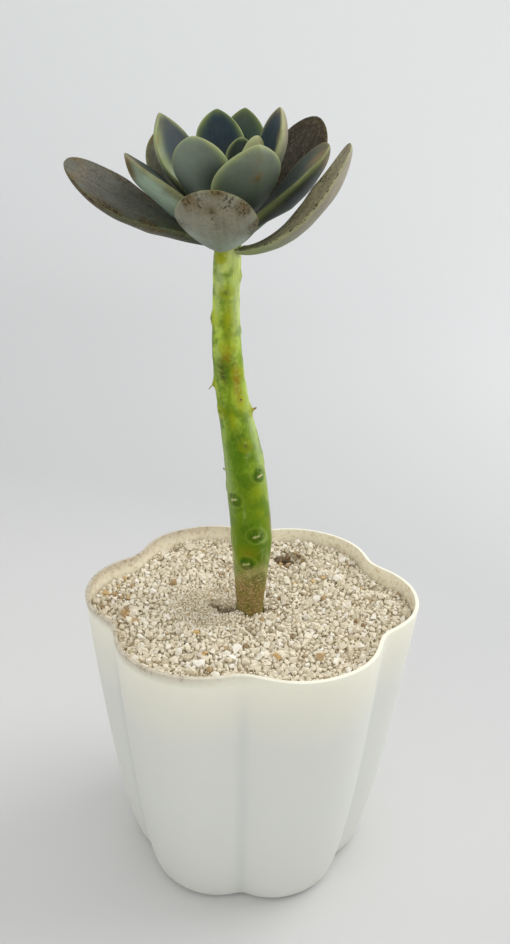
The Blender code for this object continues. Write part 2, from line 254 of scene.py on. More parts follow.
# %% The lobed wall
POT_RADIUS = 55.0 * MM
FOOT_RADIUS = 38.4 * MM
FLARE = 0.62
WALL = 1.15 * MM
FOOT_ROUNDING = 2.2 * MM
LIP_ROUNDING = 0.45 * MM
LOBES = 6
POT_TURN = math.radians(-1.8)
FOOT_CREASE = 0.905
RIM_CREASE = 0.888
LOBE_FULLNESS = 2.3
FOOT_SOFTNESS = 0.1
RIM_SOFTNESS = 0.2


def pot_radius(angle, height):
    """Outer radius of the lobed wall in a direction, at a height."""
    share = max(0.0, min(1.0, height / POT_HEIGHT))
    lobe_radius = FOOT_RADIUS + (POT_RADIUS - FOOT_RADIUS) * share**FLARE
    crease = FOOT_CREASE + (RIM_CREASE - FOOT_CREASE) * share
    half_lobe = math.pi / LOBES
    from_lobe = abs((angle - POT_TURN + half_lobe) % (2 * half_lobe) - half_lobe) / half_lobe
    soft = FOOT_SOFTNESS + (RIM_SOFTNESS - FOOT_SOFTNESS) * share
    from_crease = (math.hypot(1.0 - from_lobe, soft) - soft) / (math.hypot(1.0, soft) - soft)
    return lobe_radius * (crease + (1.0 - crease) * (1.0 - (1.0 - from_crease)**LOBE_FULLNESS))


def pot_wall_point(angle, height, inset=0.0):
    """A point on the wall at a height, moved in square to the wall by the inset."""
    turn_step = 1e-4
    rise_step = 0.5 * MM
    radius = pot_radius(angle, height)
    turn = pot_radius(angle + turn_step, height) - pot_radius(angle - turn_step, height)
    slope = (pot_radius(angle, height + rise_step) - radius) / rise_step
    out, along = outward(angle)
    normal = (out - along * (turn / (2 * turn_step * radius))).normalized()
    place = out * radius - normal * (inset * math.hypot(1.0, slope))
    return Vector((place.x, place.y, height))


# %% Parts for a Boolean
def spare_parts(name):
    """A collection for the parts that a Boolean modifier uses."""
    parts = bpy.data.collections.new(name)
    bpy.context.scene.collection.children.link(parts)
    return parts


def settle_modifiers(piece, parts):
    """Swaps a piece's mesh for what its modifiers make of it, and scraps the parts they used."""
    evaluated = piece.evaluated_get(bpy.context.evaluated_depsgraph_get())
    settled = bpy.data.meshes.new_from_object(evaluated)
    piece.modifiers.clear()
    piece.data = settled
    for part in list(parts.objects):
        bpy.data.objects.remove(part)
    bpy.data.collections.remove(parts)


# %% Make the pot
POT_AROUND = 240
FOOT_STEPS = 8
WALL_RINGS = 34
BASE_SHARES = (0.2, 0.45, 0.7, 0.9)
DRAIN_RADIUS = 3.5 * MM
DRAIN_CIRCLE = 22.0 * MM


def pot_ring(height, inset=0.0, around=POT_AROUND):
    return [pot_wall_point(POT_TURN + a, height, inset) for a in angles(around)]


def make_pot():
    foot = []
    for k in range(FOOT_STEPS + 1):
        bend = math.pi / 2 * k / FOOT_STEPS
        foot.append(pot_ring(FOOT_ROUNDING * (1 - math.cos(bend)),
            FOOT_ROUNDING * (1 - math.sin(bend))))
    base = [[Vector((0.0, 0.0, 0.0))]]
    base += [[point * share for point in foot[0]] for share in BASE_SHARES]
    wall = [pot_ring(FOOT_ROUNDING + (POT_HEIGHT - FOOT_ROUNDING) * (k / WALL_RINGS)**1.3)
        for k in range(1, WALL_RINGS + 1)]
    pot = add_piece("lobed_pot", loft(base + foot + wall, ends="open"), polypropylene)

    drills = spare_parts("drills")
    for angle in angles(LOBES):
        drill = bmesh.new()
        bmesh.ops.create_cone(drill, cap_ends=True, segments=32, radius1=DRAIN_RADIUS,
            radius2=DRAIN_RADIUS, depth=12 * MM)
        mesh = bpy.data.meshes.new("drill")
        drill.to_mesh(mesh)
        drill.free()
        cutter = bpy.data.objects.new("drill", mesh)
        cutter.location = (DRAIN_CIRCLE * math.cos(angle + POT_TURN),
            DRAIN_CIRCLE * math.sin(angle + POT_TURN), 0.0)
        drills.objects.link(cutter)

    shell = pot.modifiers.new("wall", "SOLIDIFY")
    shell.thickness = WALL
    shell.offset = -1.0
    shell.use_even_offset = True
    drains = pot.modifiers.new("drains", "BOOLEAN")
    drains.operand_type = "COLLECTION"
    drains.collection = drills
    lip = pot.modifiers.new("lip", "BEVEL")
    lip.width = LIP_ROUNDING
    lip.segments = 3
    lip.limit_method = "ANGLE"
    lip.angle_limit = math.radians(60.0)
    settle_modifiers(pot, drills)
    return pot


# %% Painted shade in the creases, the lip and the water line
# How strong the painted shade in the creases is and how wide it lies, and how far below the lip the
# water line is and how wide, in mm.
CREASE_SHADE = 0.25
CREASE_SHADE_WIDTH = 1.8 * MM
WATER_LINE_DEPTH = 1.6
WATER_LINE_WIDTH = 0.7


def paint_pot(pot):
    """Marks the inner wall, the painted shade in the creases, a brown band on the lip, and the
    dried water line just under the lip.
    """
    inside, crease, lip_and_water_line = [], [], []
    half_lobe = math.pi / LOBES
    for vertex in pot.data.vertices:
        out = Vector((vertex.co.x, vertex.co.y, 0.0)).normalized()
        inner = smooth_step(0.1, -0.3, vertex.normal.dot(out)) if vertex.co.z > WALL * 1.5 else 0.0
        below_lip = (POT_HEIGHT - vertex.co.z) / MM
        left = smooth_step(0.3, -0.6, out.x)
        inside.append(inner)
        angle = math.atan2(vertex.co.y, vertex.co.x) - POT_TURN
        to_crease = half_lobe - abs((angle + half_lobe) % (2 * half_lobe) - half_lobe)
        to_crease *= math.hypot(vertex.co.x, vertex.co.y)
        # The crease mark is painted shade, fading out toward the rim.
        amount = CREASE_SHADE * smooth_step(1.0, 0.75, vertex.co.z / POT_HEIGHT)
        crease.append((1.0 - inner) * amount * math.exp(-(to_crease / CREASE_SHADE_WIDTH)**2))
        # The brown band on the lip is stronger to the left.
        on_lip = smooth_step(0.75, 0.3, below_lip)
        dried = math.exp(-((below_lip - WATER_LINE_DEPTH) / WATER_LINE_WIDTH)**2) * inner
        lip_and_water_line.append(max(left * on_lip, (0.4 + 0.6 * left) * dried))
    paint(pot, "inside", inside)
    paint(pot, "crease", crease)
    paint(pot, "lip_and_water_line", lip_and_water_line)


pot = make_pot()
paint_pot(pot)
dress(pot, "pot_plastic", "pot")

# %% [markdown]
# ## The potting mix
#
# The dark mix of bark and fibre fills the lower pot and shows only through the drain holes. Its
# plain solid has the right shape, so it just gets a material: browns in crumbs of about 3 mm.

# %% Potting mix
def bark_and_fibre():
    material, add, shader = new_material("bark_and_fibre", Roughness=0.95)
    place = add("TexCoord", take="Object")
    crumbs = add("TexVoronoi", {"Vector": place, "Scale": 1 / (3 * MM)})
    shade = add("ValToRGB", {"Fac": crumbs}, stops=((0.0, "#5A4636"), (0.6, "#35281F"),
        (1.0, "#1C1511")))
    relief = add("Bump", {"Height": crumbs, "Strength": 0.7, "Distance": 1 * MM}, invert=True)
    plug(shader, {"Base Color": shade, "Normal": relief})
    return material


mix = frame["nodes"]["potting_mix"]
mix.data.materials.clear()
mix.data.materials.append(bark_and_fibre())
print("potting mix dressed")

# %% [markdown]
# ## The grit's pumice
#
# Crushed pumice is a frothy glass: off-white, matt and full of pores. Each grain keeps two numbers,
# its tone and its iron stain, and the material turns them into a colour. Low tones are partly
# painted shade, on the bed between the grains and in the hollows. The pores are too fine for a
# mesh, so they are bump, and the colour is painted darker where they sink, as painted shade.

# %% Pumice
PORE = 0.3 * MM


def crushed_pumice():
    material, add, shader = new_material("crushed_pumice", Roughness=0.95, IOR=1.5)
    place = add("TexCoord", take="Object")
    tone = add("Attribute", take="Fac", attribute_name="tone")
    stain = add("Attribute", take="Fac", attribute_name="stain")
    # The darkest stop is painted shade, for the hollows and the gaps between the grains.
    body = add("ValToRGB", {"Fac": tone}, stops=((0.0, "#5E4F3A"), (0.15, "#A99A7C"),
        (0.3, "#D6C9AB"), (0.6, "#ECE1C8"), (0.85, "#F6EDD8"), (1.0, "#FBF5E8")))
    iron = add("ValToRGB", {"Fac": stain}, stops=((0.0, "#3A2A1C"), (0.3, "#7B6047"),
        (0.65, "#CDB186"), (1.0, "#E3BD78")))
    stained = add("Math", {0: stain, 1: 0.02}, operation="GREATER_THAN")
    colour = add("Mix", {0: stained, 6: body, 7: iron}, **RGBA)
    pores = add("TexNoise", {"Vector": place, "Scale": 1 / PORE, "Detail": 3.0})
    # The colour is painted darker where the pores sink: painted shade.
    pore_shade = add("MapRange", {"Value": pores, "From Min": 0.3, "From Max": 0.7, "To Min": 0.82,
        "To Max": 1.06})
    final = add("Mix", {0: 1.0, 6: colour, 7: pore_shade}, **RGBA, blend_type="MULTIPLY")
    relief = add("Bump", {"Height": pores, "Strength": 0.6, "Distance": 0.15 * MM})
    plug(shader, {"Base Color": final, "Normal": relief})
    return material


pumice = crushed_pumice()
print("made", pumice.name)

# %% [markdown]
# ## The grit's surface
#
# The grit lies a little below the lip and rises to the wall. Planting left hollows, the deepest by
# the stem's foot and near the back wall. One formula gives this surface to the bed and the grains.

# %% Height of the grit
MIX_TOP = 66.0 * MM
GRIT_SHOULDER = 84.0 * MM
GRIT_TOP = 89.5 * MM
GRIT_EDGE_RISE = 1.5 * MM
GRIT_LUMP = 5.5 * MM
GRIT_RELIEF = 1.45 * MM
GRIT_SLICE = 13.0 * MM
SOIL_CLEARANCE = 0.4 * MM
CLEARANCE = 0.3 * MM
STEM_HOLE = 4.9 * MM
STEM_FOOT_X = -0.5 * MM

# Hollows in the grit, in mm: x, y, radius and depth.
HOLLOWS = ((-8, -1, 2.8, 7), (-12, 1.5, 2.6, 4.5), (12, 36, 4.4, 6.5), (16.5, 32.5, 2.4, 3),
    (-1, -6.5, 1.8, 1.6), (6, -2.5, 1.8, 1.6), (-24, -12, 2, 1.2), (-30, 40, 2, 2))


def hollow_at(x, y):
    """How deep the hollows are at a place, in mm."""
    return sum(depth * math.exp(-(math.hypot(x / MM - at_x, y / MM - at_y) / radius)**4)
        for at_x, at_y, radius, depth in HOLLOWS)


def grit_height(x, y):
    lumps = noise.noise(Vector((x, y, GRIT_SLICE)) / GRIT_LUMP)
    from_half_way = math.hypot(x, y) / POT_RADIUS - 0.5
    height = GRIT_TOP + GRIT_EDGE_RISE * from_half_way + GRIT_RELIEF * lumps
    return height - hollow_at(x, y) * MM


# %% [markdown]
# ## The bed of fines
#
# Between the grains lies fine dust. The bed is one closed body with a hole for the stem. Its top
# follows the grit's surface, just low enough for the grains to stand out of it. Its tone is darker
# than the grains', partly for the dust and partly as painted shade in the gaps, and darker still in
# the hollows, as painted shade.

# %% Make the bed
BED_AROUND = 240
BED_RINGS = 70
BED_DROP = 0.75 * MM
# The bed's tone is partly the dust's own and partly painted shade between the grains.
BED_TONE_AND_SHADE = 0.27
DUST_LUMP = 1.0 * MM
DUST_RELIEF = 0.5 * MM
# How much the hollows are darkened per mm of depth, as painted shade.
HOLLOW_SHADE = 0.06


def stem_hole(height, around):
    return [Vector((STEM_FOOT_X + STEM_HOLE * math.cos(POT_TURN + a),
        STEM_HOLE * math.sin(POT_TURN + a), height)) for a in angles(around)]


def make_bed():
    inset = WALL + SOIL_CLEARANCE
    bottom = MIX_TOP + CLEARANCE
    hole = stem_hole(bottom, BED_AROUND)
    rim = pot_ring(GRIT_TOP, inset, BED_AROUND)
    rings = [hole] + [pot_ring(height, inset, BED_AROUND)
        for height in (bottom, (bottom + GRIT_SHOULDER) / 2, GRIT_SHOULDER)]
    for k in range(BED_RINGS + 1):
        ring = [edge.lerp(middle, k / BED_RINGS) for edge, middle in zip(rim, hole)]
        for point in ring:
            amount = noise.noise(Vector((point.x, point.y, 0.0)) / DUST_LUMP)
            point.z = grit_height(point.x, point.y) - BED_DROP + DUST_RELIEF * amount
        rings.append(ring)
    bed = add_piece("grit_bed", loft(rings, ends="joined"), pumice)
    # The bed's tone, lowered in the hollows as painted shade.
    paint(bed, "tone", [BED_TONE_AND_SHADE + 0.25 * noise.noise(v.co / DUST_LUMP)
        - HOLLOW_SHADE * hollow_at(v.co.x, v.co.y) for v in bed.data.vertices])
    paint(bed, "stain", [0.0] * len(bed.data.vertices))
    return bed


bed = make_bed()
dress(bed, "pumice_grit", "gravel")

# %% [markdown]
# ## The loose grains
#
# Several thousand grains of 0.6 to 4 mm lie on the bed. Each is an angular chip: the skin stretched
# over a few random corners. A particle system could scatter them, but a mesh export drops
# particles, so the script drops them itself, the largest first, each wherever it still fits. Finer
# grit has gathered left of the stem.

# %% Chips
SEED = 41
CHIP_KINDS = 18


def chips(corners):
    """A few angular chips, about 2 across, as arrays of corners and triangles."""
    made = []
    for _ in range(CHIP_KINDS):
        builder = bmesh.new()
        width, height = random.uniform(0.75, 1.0), random.uniform(0.6, 0.9)
        for _ in range(corners):
            way = Vector([random.gauss(0, 1) for _ in range(3)]).normalized()
            way *= random.uniform(0.82, 1.18)
            builder.verts.new((way.x, way.y * width, way.z * height))
        hull = bmesh.ops.convex_hull(builder, input=builder.verts)
        loose = [v for v in hull["geom_interior"] if isinstance(v, bmesh.types.BMVert)]
        bmesh.ops.delete(builder, geom=loose, context="VERTS")
        builder.verts.index_update()
        made.append((np.array([v.co for v in builder.verts]),
            np.array([[v.index for v in face.verts] for face in builder.faces])))
        builder.free()
    return made


# %% Heaps of chips
def heap(name, grains, shapes):
    """One mesh of many grains, each a turned and scaled copy of one of the chips."""
    points, corners, tones, stains = [], [], [], []
    first = 0
    for place, size, tone, stain in grains:
        shape, triangles = random.choice(shapes)
        turn = Quaternion([random.gauss(0, 1) for _ in range(4)]).normalized()
        turned = shape @ np.array(turn.to_matrix()).T * size
        points.append(turned + np.array(place))
        corners.append(triangles + first)
        tones.append(np.full(len(shape), tone))
        stains.append(np.full(len(shape), stain))
        first += len(shape)
    mesh = bpy.data.meshes.new(name)
    mesh.from_pydata(np.concatenate(points).tolist(), [], np.concatenate(corners).tolist())
    mesh.materials.append(pumice)
    piece = bpy.data.objects.new(name, mesh)
    bpy.context.scene.collection.objects.link(piece)
    paint(piece, "tone", np.concatenate(tones))
    paint(piece, "stain", np.concatenate(stains))
    return piece


# %% Room for the grains
CELL = 4.0 * MM
STEM_FOOT_RADIUS = 4.7 * MM
DIRECTIONS = 720
GRIT_ROOM = [math.hypot(p.x, p.y) for p in [pot_wall_point(TURN * i / DIRECTIONS, GRIT_TOP, WALL)
    for i in range(DIRECTIONS)]]

# How many grains are tried of each size: count, and least and greatest radius in mm.
BATCHES = ((200, 1.35, 1.9), (900, 1.0, 1.35), (2000, 0.8, 1.0), (3200, 0.6, 0.8),
    (4800, 0.42, 0.6), (4200, 0.3, 0.42))
TRIES = 14
CLOSENESS = 0.68
GRAIN_TONE, TONE_SPREAD = 0.7, 0.17
COARSE, MIDDLING = 0.8 * MM, 0.5 * MM

# The finer patch left of the stem, in mm: x, y, how far it reaches, and its largest radius.
FINE_PATCH = (-14.0, -1.0, 17.0, 0.62)

# How many grains are tan: most places, left of an edge, and more still in the pit behind.
TAN_CHANCE, LEFT_TAN_CHANCE = 0.012, 0.1
LEFT_EDGE = -40 * MM
BROWN_PIT = (13 * MM, 35 * MM)
BROWN_PIT_RADIUS = 6 * MM


# %% Where grains fit, and how they look
def room_at(x, y):
    """How far the grit reaches in the direction of a place."""
    return GRIT_ROOM[int(math.atan2(y, x) % TURN / TURN * DIRECTIONS) % DIRECTIONS]


def largest_at(x, y):
    at_x, at_y, reach, fine = FINE_PATCH
    away = math.hypot(x / MM - at_x, (y / MM - at_y) * 0.9) / reach
    return (fine + 1.6 * smooth_step(0.55, 1.35, away)) * MM


def stain_at(x, y):
    """Most grains are clean. Some are tan, more of them along the left wall and in the hollow."""
    chance, darkest = TAN_CHANCE, 0.45
    if x < LEFT_EDGE:
        chance = LEFT_TAN_CHANCE
    if math.hypot(x - BROWN_PIT[0], y - BROWN_PIT[1]) < BROWN_PIT_RADIUS:
        chance, darkest = 0.6, 0.15
    return random.uniform(darkest, 0.8) if random.random() < chance else 0.0


# %% Drop them one by one
def drop_grains():
    cells, grains = {}, []
    for count, least, greatest in BATCHES:
        for _ in range(count):
            size = random.uniform(least, greatest) * MM
            for _ in range(TRIES):
                away = POT_RADIUS * math.sqrt(random.random())
                angle = random.uniform(0, TURN)
                x, y = away * math.cos(angle), away * math.sin(angle)
                if away + size > room_at(x, y) or size > largest_at(x, y):
                    continue
                if math.hypot(x - STEM_FOOT_X, y) < STEM_FOOT_RADIUS + 0.8 * size:
                    continue
                column, row = int(x // CELL), int(y // CELL)
                near = [g for i in (-1, 0, 1) for j in (-1, 0, 1)
                    for g in cells.get((column + i, row + j), ())]
                if any(math.hypot(x - gx, y - gy) < CLOSENESS * (size + gs) for gx, gy, gs in near):
                    continue
                cells.setdefault((column, row), []).append((x, y, size))
                z = grit_height(x, y) + size * random.uniform(-0.25, 0.4)
                # Grains in the hollows get a lower tone, as painted shade.
                tone = random.gauss(GRAIN_TONE, TONE_SPREAD) - HOLLOW_SHADE * hollow_at(x, y)
                grains.append(((x, y, z), size, min(1.0, max(0.0, tone)), stain_at(x, y)))
                break
    return grains


random.seed(SEED)
grains = drop_grains()
coarse = [g for g in grains if g[1] > COARSE]
middling = [g for g in grains if MIDDLING < g[1] <= COARSE]
fine = [g for g in grains if g[1] <= MIDDLING]
print("grains:", len(coarse), "coarse,", len(middling), "middling,", len(fine), "fine")

# %% Single grains that catch the eye
# Place in mm, radius in mm, tone and stain: tan and orange ones, a black speck and bright chips.
EYE_CATCHERS = ((-15, -36, 2.3, 1, 0), (-17, -19, 1.1, 0.6, 0.97), (-14, -31, 0.9, 0.6, 0.85),
    (8, -32, 1.7, 0.8, 0.8), (21, -32, 1.8, 1, 0.62), (-20, -24, 0.6, 0, 0.04),
    (34, -9, 0.8, 0.3, 0.35), (36, -12, 0.9, 0.3, 0.4), (-49, 3, 1.6, 0.4, 0.75),
    (-4, -28, 2, 1, 0), (-5, -32, 1.7, 1, 0), (3, -31, 1.8, 0.95, 0), (1, -37, 1.9, 0.85, 0),
    (13, -38, 1.7, 0.8, 0), (-41, -10, 1.9, 0.6, 0.55), (-37, -14, 1.7, 0.6, 0.6),
    (12, 37, 1.9, 0.3, 0.3), (15, 35, 1.7, 0.3, 0.35), (9, 40, 2, 0.9, 0), (-26, 33, 1.8, 0.6, 0),
    (30, 18, 2, 0.95, 0), (22, 5, 1.9, 1, 0))

for x, y, size, tone, stain in EYE_CATCHERS:
    x, y, size = x * MM, y * MM, size * MM
    coarse.append(((x, y, grit_height(x, y) + 0.35 * size), size, tone, stain))

heaps = [heap("coarse_grit", coarse, chips(13)), heap("middling_grit", middling, chips(11)),
    heap("fine_grit", fine, chips(9))]
for piece in heaps:
    dress(piece, "pumice_grit")

# %% [markdown]
# ## The stem's skin
#
# The bare stem is smooth and juicy: pale under the rosette, lime green in the middle, deep green
# lower down, and corky tan at the grit. The colour follows height. On top come long streaks, and
# the marks of the leaves that fell, which the mesh keeps as masks: yellow ones above, rusty and
# bruised ones in the middle, and dark ovals with a pale slit below.

# %% Stem skin
STEM_LOW, STEM_HIGH = 88.0 * MM, 210.0 * MM
SKIN_IOR = 1.42
STREAK_SQUASH = 0.16
# The pale paint is partly the skin's pale streaks and partly painted highlight.
MARK_PAINTS = (("pale", "#C3D196"), ("green", "#587C00"), ("yellow", "#A9AE00"),
    ("rust", "#9C7812"), ("bruise", "#45441E"), ("eye", "#365802"), ("ring", "#A3B54C"),
    ("slit", "#D2CE8E"))


def juicy_stem_skin():
    material, add, shader = new_material("juicy_stem_skin", IOR=SKIN_IOR, Specular_IOR_Level=0.2,
        Subsurface_Weight=0.2, Subsurface_Scale=2.0 * MM, Subsurface_Radius=(0.7, 1.0, 0.25))
    place = add("TexCoord", take="Object")
    height = add("SeparateXYZ", {"Vector": place}, "Z")
    blotches = add("TexNoise", {"Vector": place, "Scale": 1 / (5 * MM), "Detail": 4.0})
    wavering = add("Math", {0: blotches, 1: 9 * MM, 2: height}, operation="MULTIPLY_ADD")
    up = add("MapRange", {"Value": wavering, "From Min": STEM_LOW + 4.5 * MM,
        "From Max": STEM_HIGH + 4.5 * MM})
    skin = add("ValToRGB", {"Fac": up}, stops=((0.0, "#8A7246"), (0.09, "#A08C5A"),
        (0.13, "#ABA36C"), (0.18, "#6A8202"), (0.36, "#839E16"), (0.5, "#9FBA34"),
        (0.74, "#BACF49"), (0.86, "#C8DA5C"), (1.0, "#E6EE92")))
    stretched = add("Mapping", {"Vector": place, "Scale": (1.0, 1.0, STREAK_SQUASH)})
    streaks = add("TexNoise", {"Vector": stretched, "Scale": 1 / (2.4 * MM), "Detail": 4.0})
    dark_streaks = add("MapRange", {"Value": streaks, "From Min": 0.47, "From Max": 0.64,
        "To Max": 0.7})
    pale_streaks = add("MapRange", {"Value": streaks, "From Min": 0.44, "From Max": 0.32,
        "To Max": 0.6})
    current = add("Mix", {0: dark_streaks, 6: skin, 7: linear("#728F08")}, **RGBA)
    current = add("Mix", {0: pale_streaks, 6: current, 7: linear("#B4C67E")}, **RGBA)
    juicy = add("MapRange", {"Value": blotches, "From Min": 0.48, "From Max": 0.6, "To Max": 0.8})
    current = add("Mix", {0: juicy, 6: current, 7: linear("#577A02")}, **RGBA)
    flecks = add("TexNoise", {"Vector": place, "Scale": 1 / (1.1 * MM), "Detail": 4.0})
    ragged = add("MapRange", {"Value": flecks, "From Min": 0.36, "From Max": 0.56, "To Min": 0.45})
    for mask, hex_colour in MARK_PAINTS:
        strength = add("Attribute", take="Fac", attribute_name=mask)
        broken = add("Math", {0: strength, 1: ragged}, operation="MULTIPLY")
        current = add("Mix", {0: broken, 6: current, 7: linear(hex_colour)}, **RGBA)
    cork = add("MapRange", {"Value": up, "From Min": 0.17, "From Max": 0.1})
    crumbs = add("TexNoise", {"Vector": place, "Scale": 1 / (0.6 * MM), "Detail": 3.0})
    cork_tone = add("ValToRGB", {"Fac": crumbs}, stops=((0.36, "#6A5430"), (0.5, "#8F764A"),
        (0.64, "#B9A36E")))
    corky = add("Math", {0: cork, 1: 0.7}, operation="MULTIPLY")
    final = add("Mix", {0: corky, 6: current, 7: cork_tone}, **RGBA)
    roughness = add("MapRange", {"Value": cork, "To Min": 0.33, "To Max": 0.8})
    relief = add("Bump", {"Height": flecks, "Strength": 0.4, "Distance": 0.25 * MM})
    plug(shader, {"Base Color": final, "Roughness": roughness, "Normal": relief})
    return material


stem_skin = juicy_stem_skin()
print("made", stem_skin.name)

# %% [markdown]
# ## The stem
#
# The stem is a loft of round sections along a gentle S, thickest above the grit. Where a leaf fell
# it left a low oval swelling, and lower down also a ring, a sunk middle and a slit. Sections 0.4 mm
# apart keep these marks crisp.

# %% The stem's course
STEM_BOTTOM = 50.0 * MM
STEM_AROUND = 144
STEM_STEP = 0.4 * MM
STEM_TIP = 0.5

# In mm: a scar's swelling, then the half width and half height of it, its disc, core and ring.
SCAR_BUMP = 0.5
SCAR_WIDTH, SCAR_HEIGHT = 2.3, 1.7
DISC_WIDTH, DISC_HEIGHT = 2.7, 2.4
CORE_WIDTH, CORE_HEIGHT = 0.8, 0.7
RING_WIDTH, RING_HEIGHT = 3.0, 2.6

# Height, sideways place and radius, in mm.
STEM_COURSE = ((50, -0.5, 4.5), (90, -0.5, 4.5), (102, -0.5, 5.5), (115, -0.5, 6.5),
    (130, -2, 6.5), (145, -4, 6), (160, -7, 5), (175, -9, 4.5), (190, -9.5, 4), (203, -9.3, 4),
    (211, -8.6, 3.4), (217, -7.9, 2.5), (221, -7.4, 1.5))


def through_points(table, height):
    """Smooth values at a height, through rows whose first entry is the height."""
    last = len(table) - 1
    height = min(max(height, table[0][0]), table[last][0])
    i = max(k for k in range(last) if table[k][0] <= height)
    here, there = table[i], table[i + 1]
    before, after = table[max(i - 1, 0)], table[min(i + 2, last)]
    span = there[0] - here[0]
    t = (height - here[0]) / span
    values = []
    for k in range(1, len(here)):
        slope_here = (there[k] - before[k]) / (there[0] - before[0]) * span
        slope_there = (after[k] - here[k]) / (after[0] - here[0]) * span
        values.append((2 * t**3 - 3 * t**2 + 1) * here[k] + (t**3 - 2 * t**2 + t) * slope_here
            + (3 * t**2 - 2 * t**3) * there[k] + (t**3 - t**2) * slope_there)
    return values


def stem_axis(height):
    """Centre and radius of the stem at a height."""
    x, radius = through_points(STEM_COURSE, height / MM)
    return Vector((x * MM, 0.0, height)), radius * MM


# %% Marks of fallen leaves
# Height in mm and direction in degrees. The kind of mark follows from the height.
LEAF_SCARS = ((204, 240), (198, 20), (194, 275), (190, 110), (186, 205), (182, 40), (178, 275),
    (174, 130), (170, 305), (166, 190), (162, 70), (158, 350), (158, 220), (152, 120), (148, 285),
    (142, 30), (138, 315), (132, 150), (130, 230), (124, 60), (118, 285), (114, 160), (108, 255),
    (104, 100), (102, 300))
YELLOW_SCARS_FROM = 196
BRUISED_SCARS_FROM = 180
RUSTY_SCARS_FROM = 168
WARTY_SCARS_FROM = 147
MASKS = tuple(mask for mask, _ in MARK_PAINTS)

# Patches of colour between the scars: mask, strength, then height, direction, half width and half
# height in mm. The pale patches are partly pale streaks of the skin and partly painted highlight,
# chiefly those on the right front between 310 and 340 degrees.
PATCHES = (("yellow", 0.8, 186, 283, 1.7, 6), ("green", 0.8, 190, 265, 2, 7),
    ("pale", 0.8, 190, 320, 2.4, 9), ("pale", 0.7, 205, 310, 2.5, 4),
    ("pale", 0.6, 196, 235, 1.5, 7), ("green", 0.9, 172, 285, 3.6, 7.5),
    ("rust", 0.7, 175, 268, 1.5, 2.4), ("rust", 0.9, 168, 298, 1.1, 5),
    ("bruise", 0.9, 170, 246, 1.6, 3.6), ("yellow", 0.9, 162, 300, 2, 3.5),
    ("yellow", 0.8, 156, 262, 1.4, 3), ("green", 0.7, 160, 245, 3.4, 6),
    ("eye", 0.35, 160, 226, 2, 4), ("pale", 0.75, 150, 330, 2, 14),
    ("pale", 0.6, 138, 215, 2.2, 12), ("eye", 0.6, 150, 278, 3.4, 4.5),
    ("eye", 0.5, 156, 240, 2, 4), ("green", 1, 143, 255, 5.5, 11),
    ("eye", 0.4, 132, 262, 4.5, 6), ("yellow", 0.4, 133, 300, 2.6, 3),
    ("green", 0.8, 121, 270, 6, 8), ("eye", 0.5, 119, 258, 3, 4),
    ("rust", 0.5, 121, 344, 1.6, 3.2), ("yellow", 0.4, 126, 305, 2, 2),
    ("eye", 0.45, 111, 302, 3, 4), ("rust", 0.4, 112, 262, 3.4, 2),
    ("pale", 0.5, 103, 340, 2.4, 3), ("pale", 0.5, 103, 205, 2.4, 3),
    ("green", 0.7, 180, 90, 2.6, 8), ("eye", 0.4, 140, 100, 4, 9),
    ("pale", 0.6, 165, 140, 2.4, 9), ("rust", 0.5, 150, 60, 1.6, 3),
    ("yellow", 0.6, 195, 60, 1.8, 4))


def scar_marks(across, up, height):
    """The relief in mm and the masks of a scar, at a place across and up from it in mm."""
    disc = smooth_step(1.2, 0.7, math.hypot(across / DISC_WIDTH, up / DISC_HEIGHT))
    core = math.exp(-(across / CORE_WIDTH)**2 - (up / CORE_HEIGHT)**2)
    if height > YELLOW_SCARS_FROM:
        return 0.15 * core, {"yellow": 0.8 * disc, "green": 0.6 * core}
    if height > BRUISED_SCARS_FROM:
        return 0.15 * disc, {"yellow": 0.5 * disc, "bruise": 0.85 * core}
    if height > RUSTY_SCARS_FROM:
        return 0.15 * disc, {"yellow": 0.5 * disc, "rust": 0.5 * core}
    if height > WARTY_SCARS_FROM:
        return 0.35 * core, {"yellow": 0.6 * disc, "bruise": 0.4 * core}
    ring_at = math.hypot(across / RING_WIDTH, (up - 0.2) / RING_HEIGHT)
    ring = math.exp(-((ring_at - 1.12) / 0.1)**2)
    off_slit = abs(up - 0.25 * across)
    slit = smooth_step(1.25, 0.9, abs(across)) * smooth_step(0.45, 0.15, off_slit)
    return (0.16 * ring - 0.2 * disc + 0.25 * slit,
        {"eye": 0.85 * disc, "ring": 0.25 * ring, "slit": slit})


# %% All marks at one place
def stem_marks(angle, height, radius):
    """The relief in mm and the masks at a place on the stem."""
    relief, masks = 0.0, dict.fromkeys(MASKS, 0.0)
    for scar_height, direction in LEAF_SCARS:
        up = height / MM - scar_height
        if abs(up) > 3 * SCAR_WIDTH:
            continue
        turn = (angle - math.radians(direction) + math.pi) % TURN - math.pi
        across = turn * radius / MM
        relief += SCAR_BUMP * math.exp(-(across / SCAR_WIDTH)**2 - (up / SCAR_HEIGHT)**2)
        carved, found = scar_marks(across, up, scar_height)
        relief += carved
        for mask, strength in found.items():
            masks[mask] = max(masks[mask], strength)
    for mask, strength, patch_height, direction, half_width, half_height in PATCHES:
        up = (height / MM - patch_height) / half_height
        if abs(up) > 2.5:
            continue
        turn = (angle - math.radians(direction) + math.pi) % TURN - math.pi
        across = turn * radius / MM / half_width
        masks[mask] = max(masks[mask], strength * math.exp(-across * across - up * up))
    return relief, masks


# %% Make the stem
LUMP = 4.5 * MM
LUMP_RELIEF = 0.14
WART = 1.3 * MM
WART_RELIEF = 0.16
WART_MIDDLE = 166.0
WART_REACH = 13.0


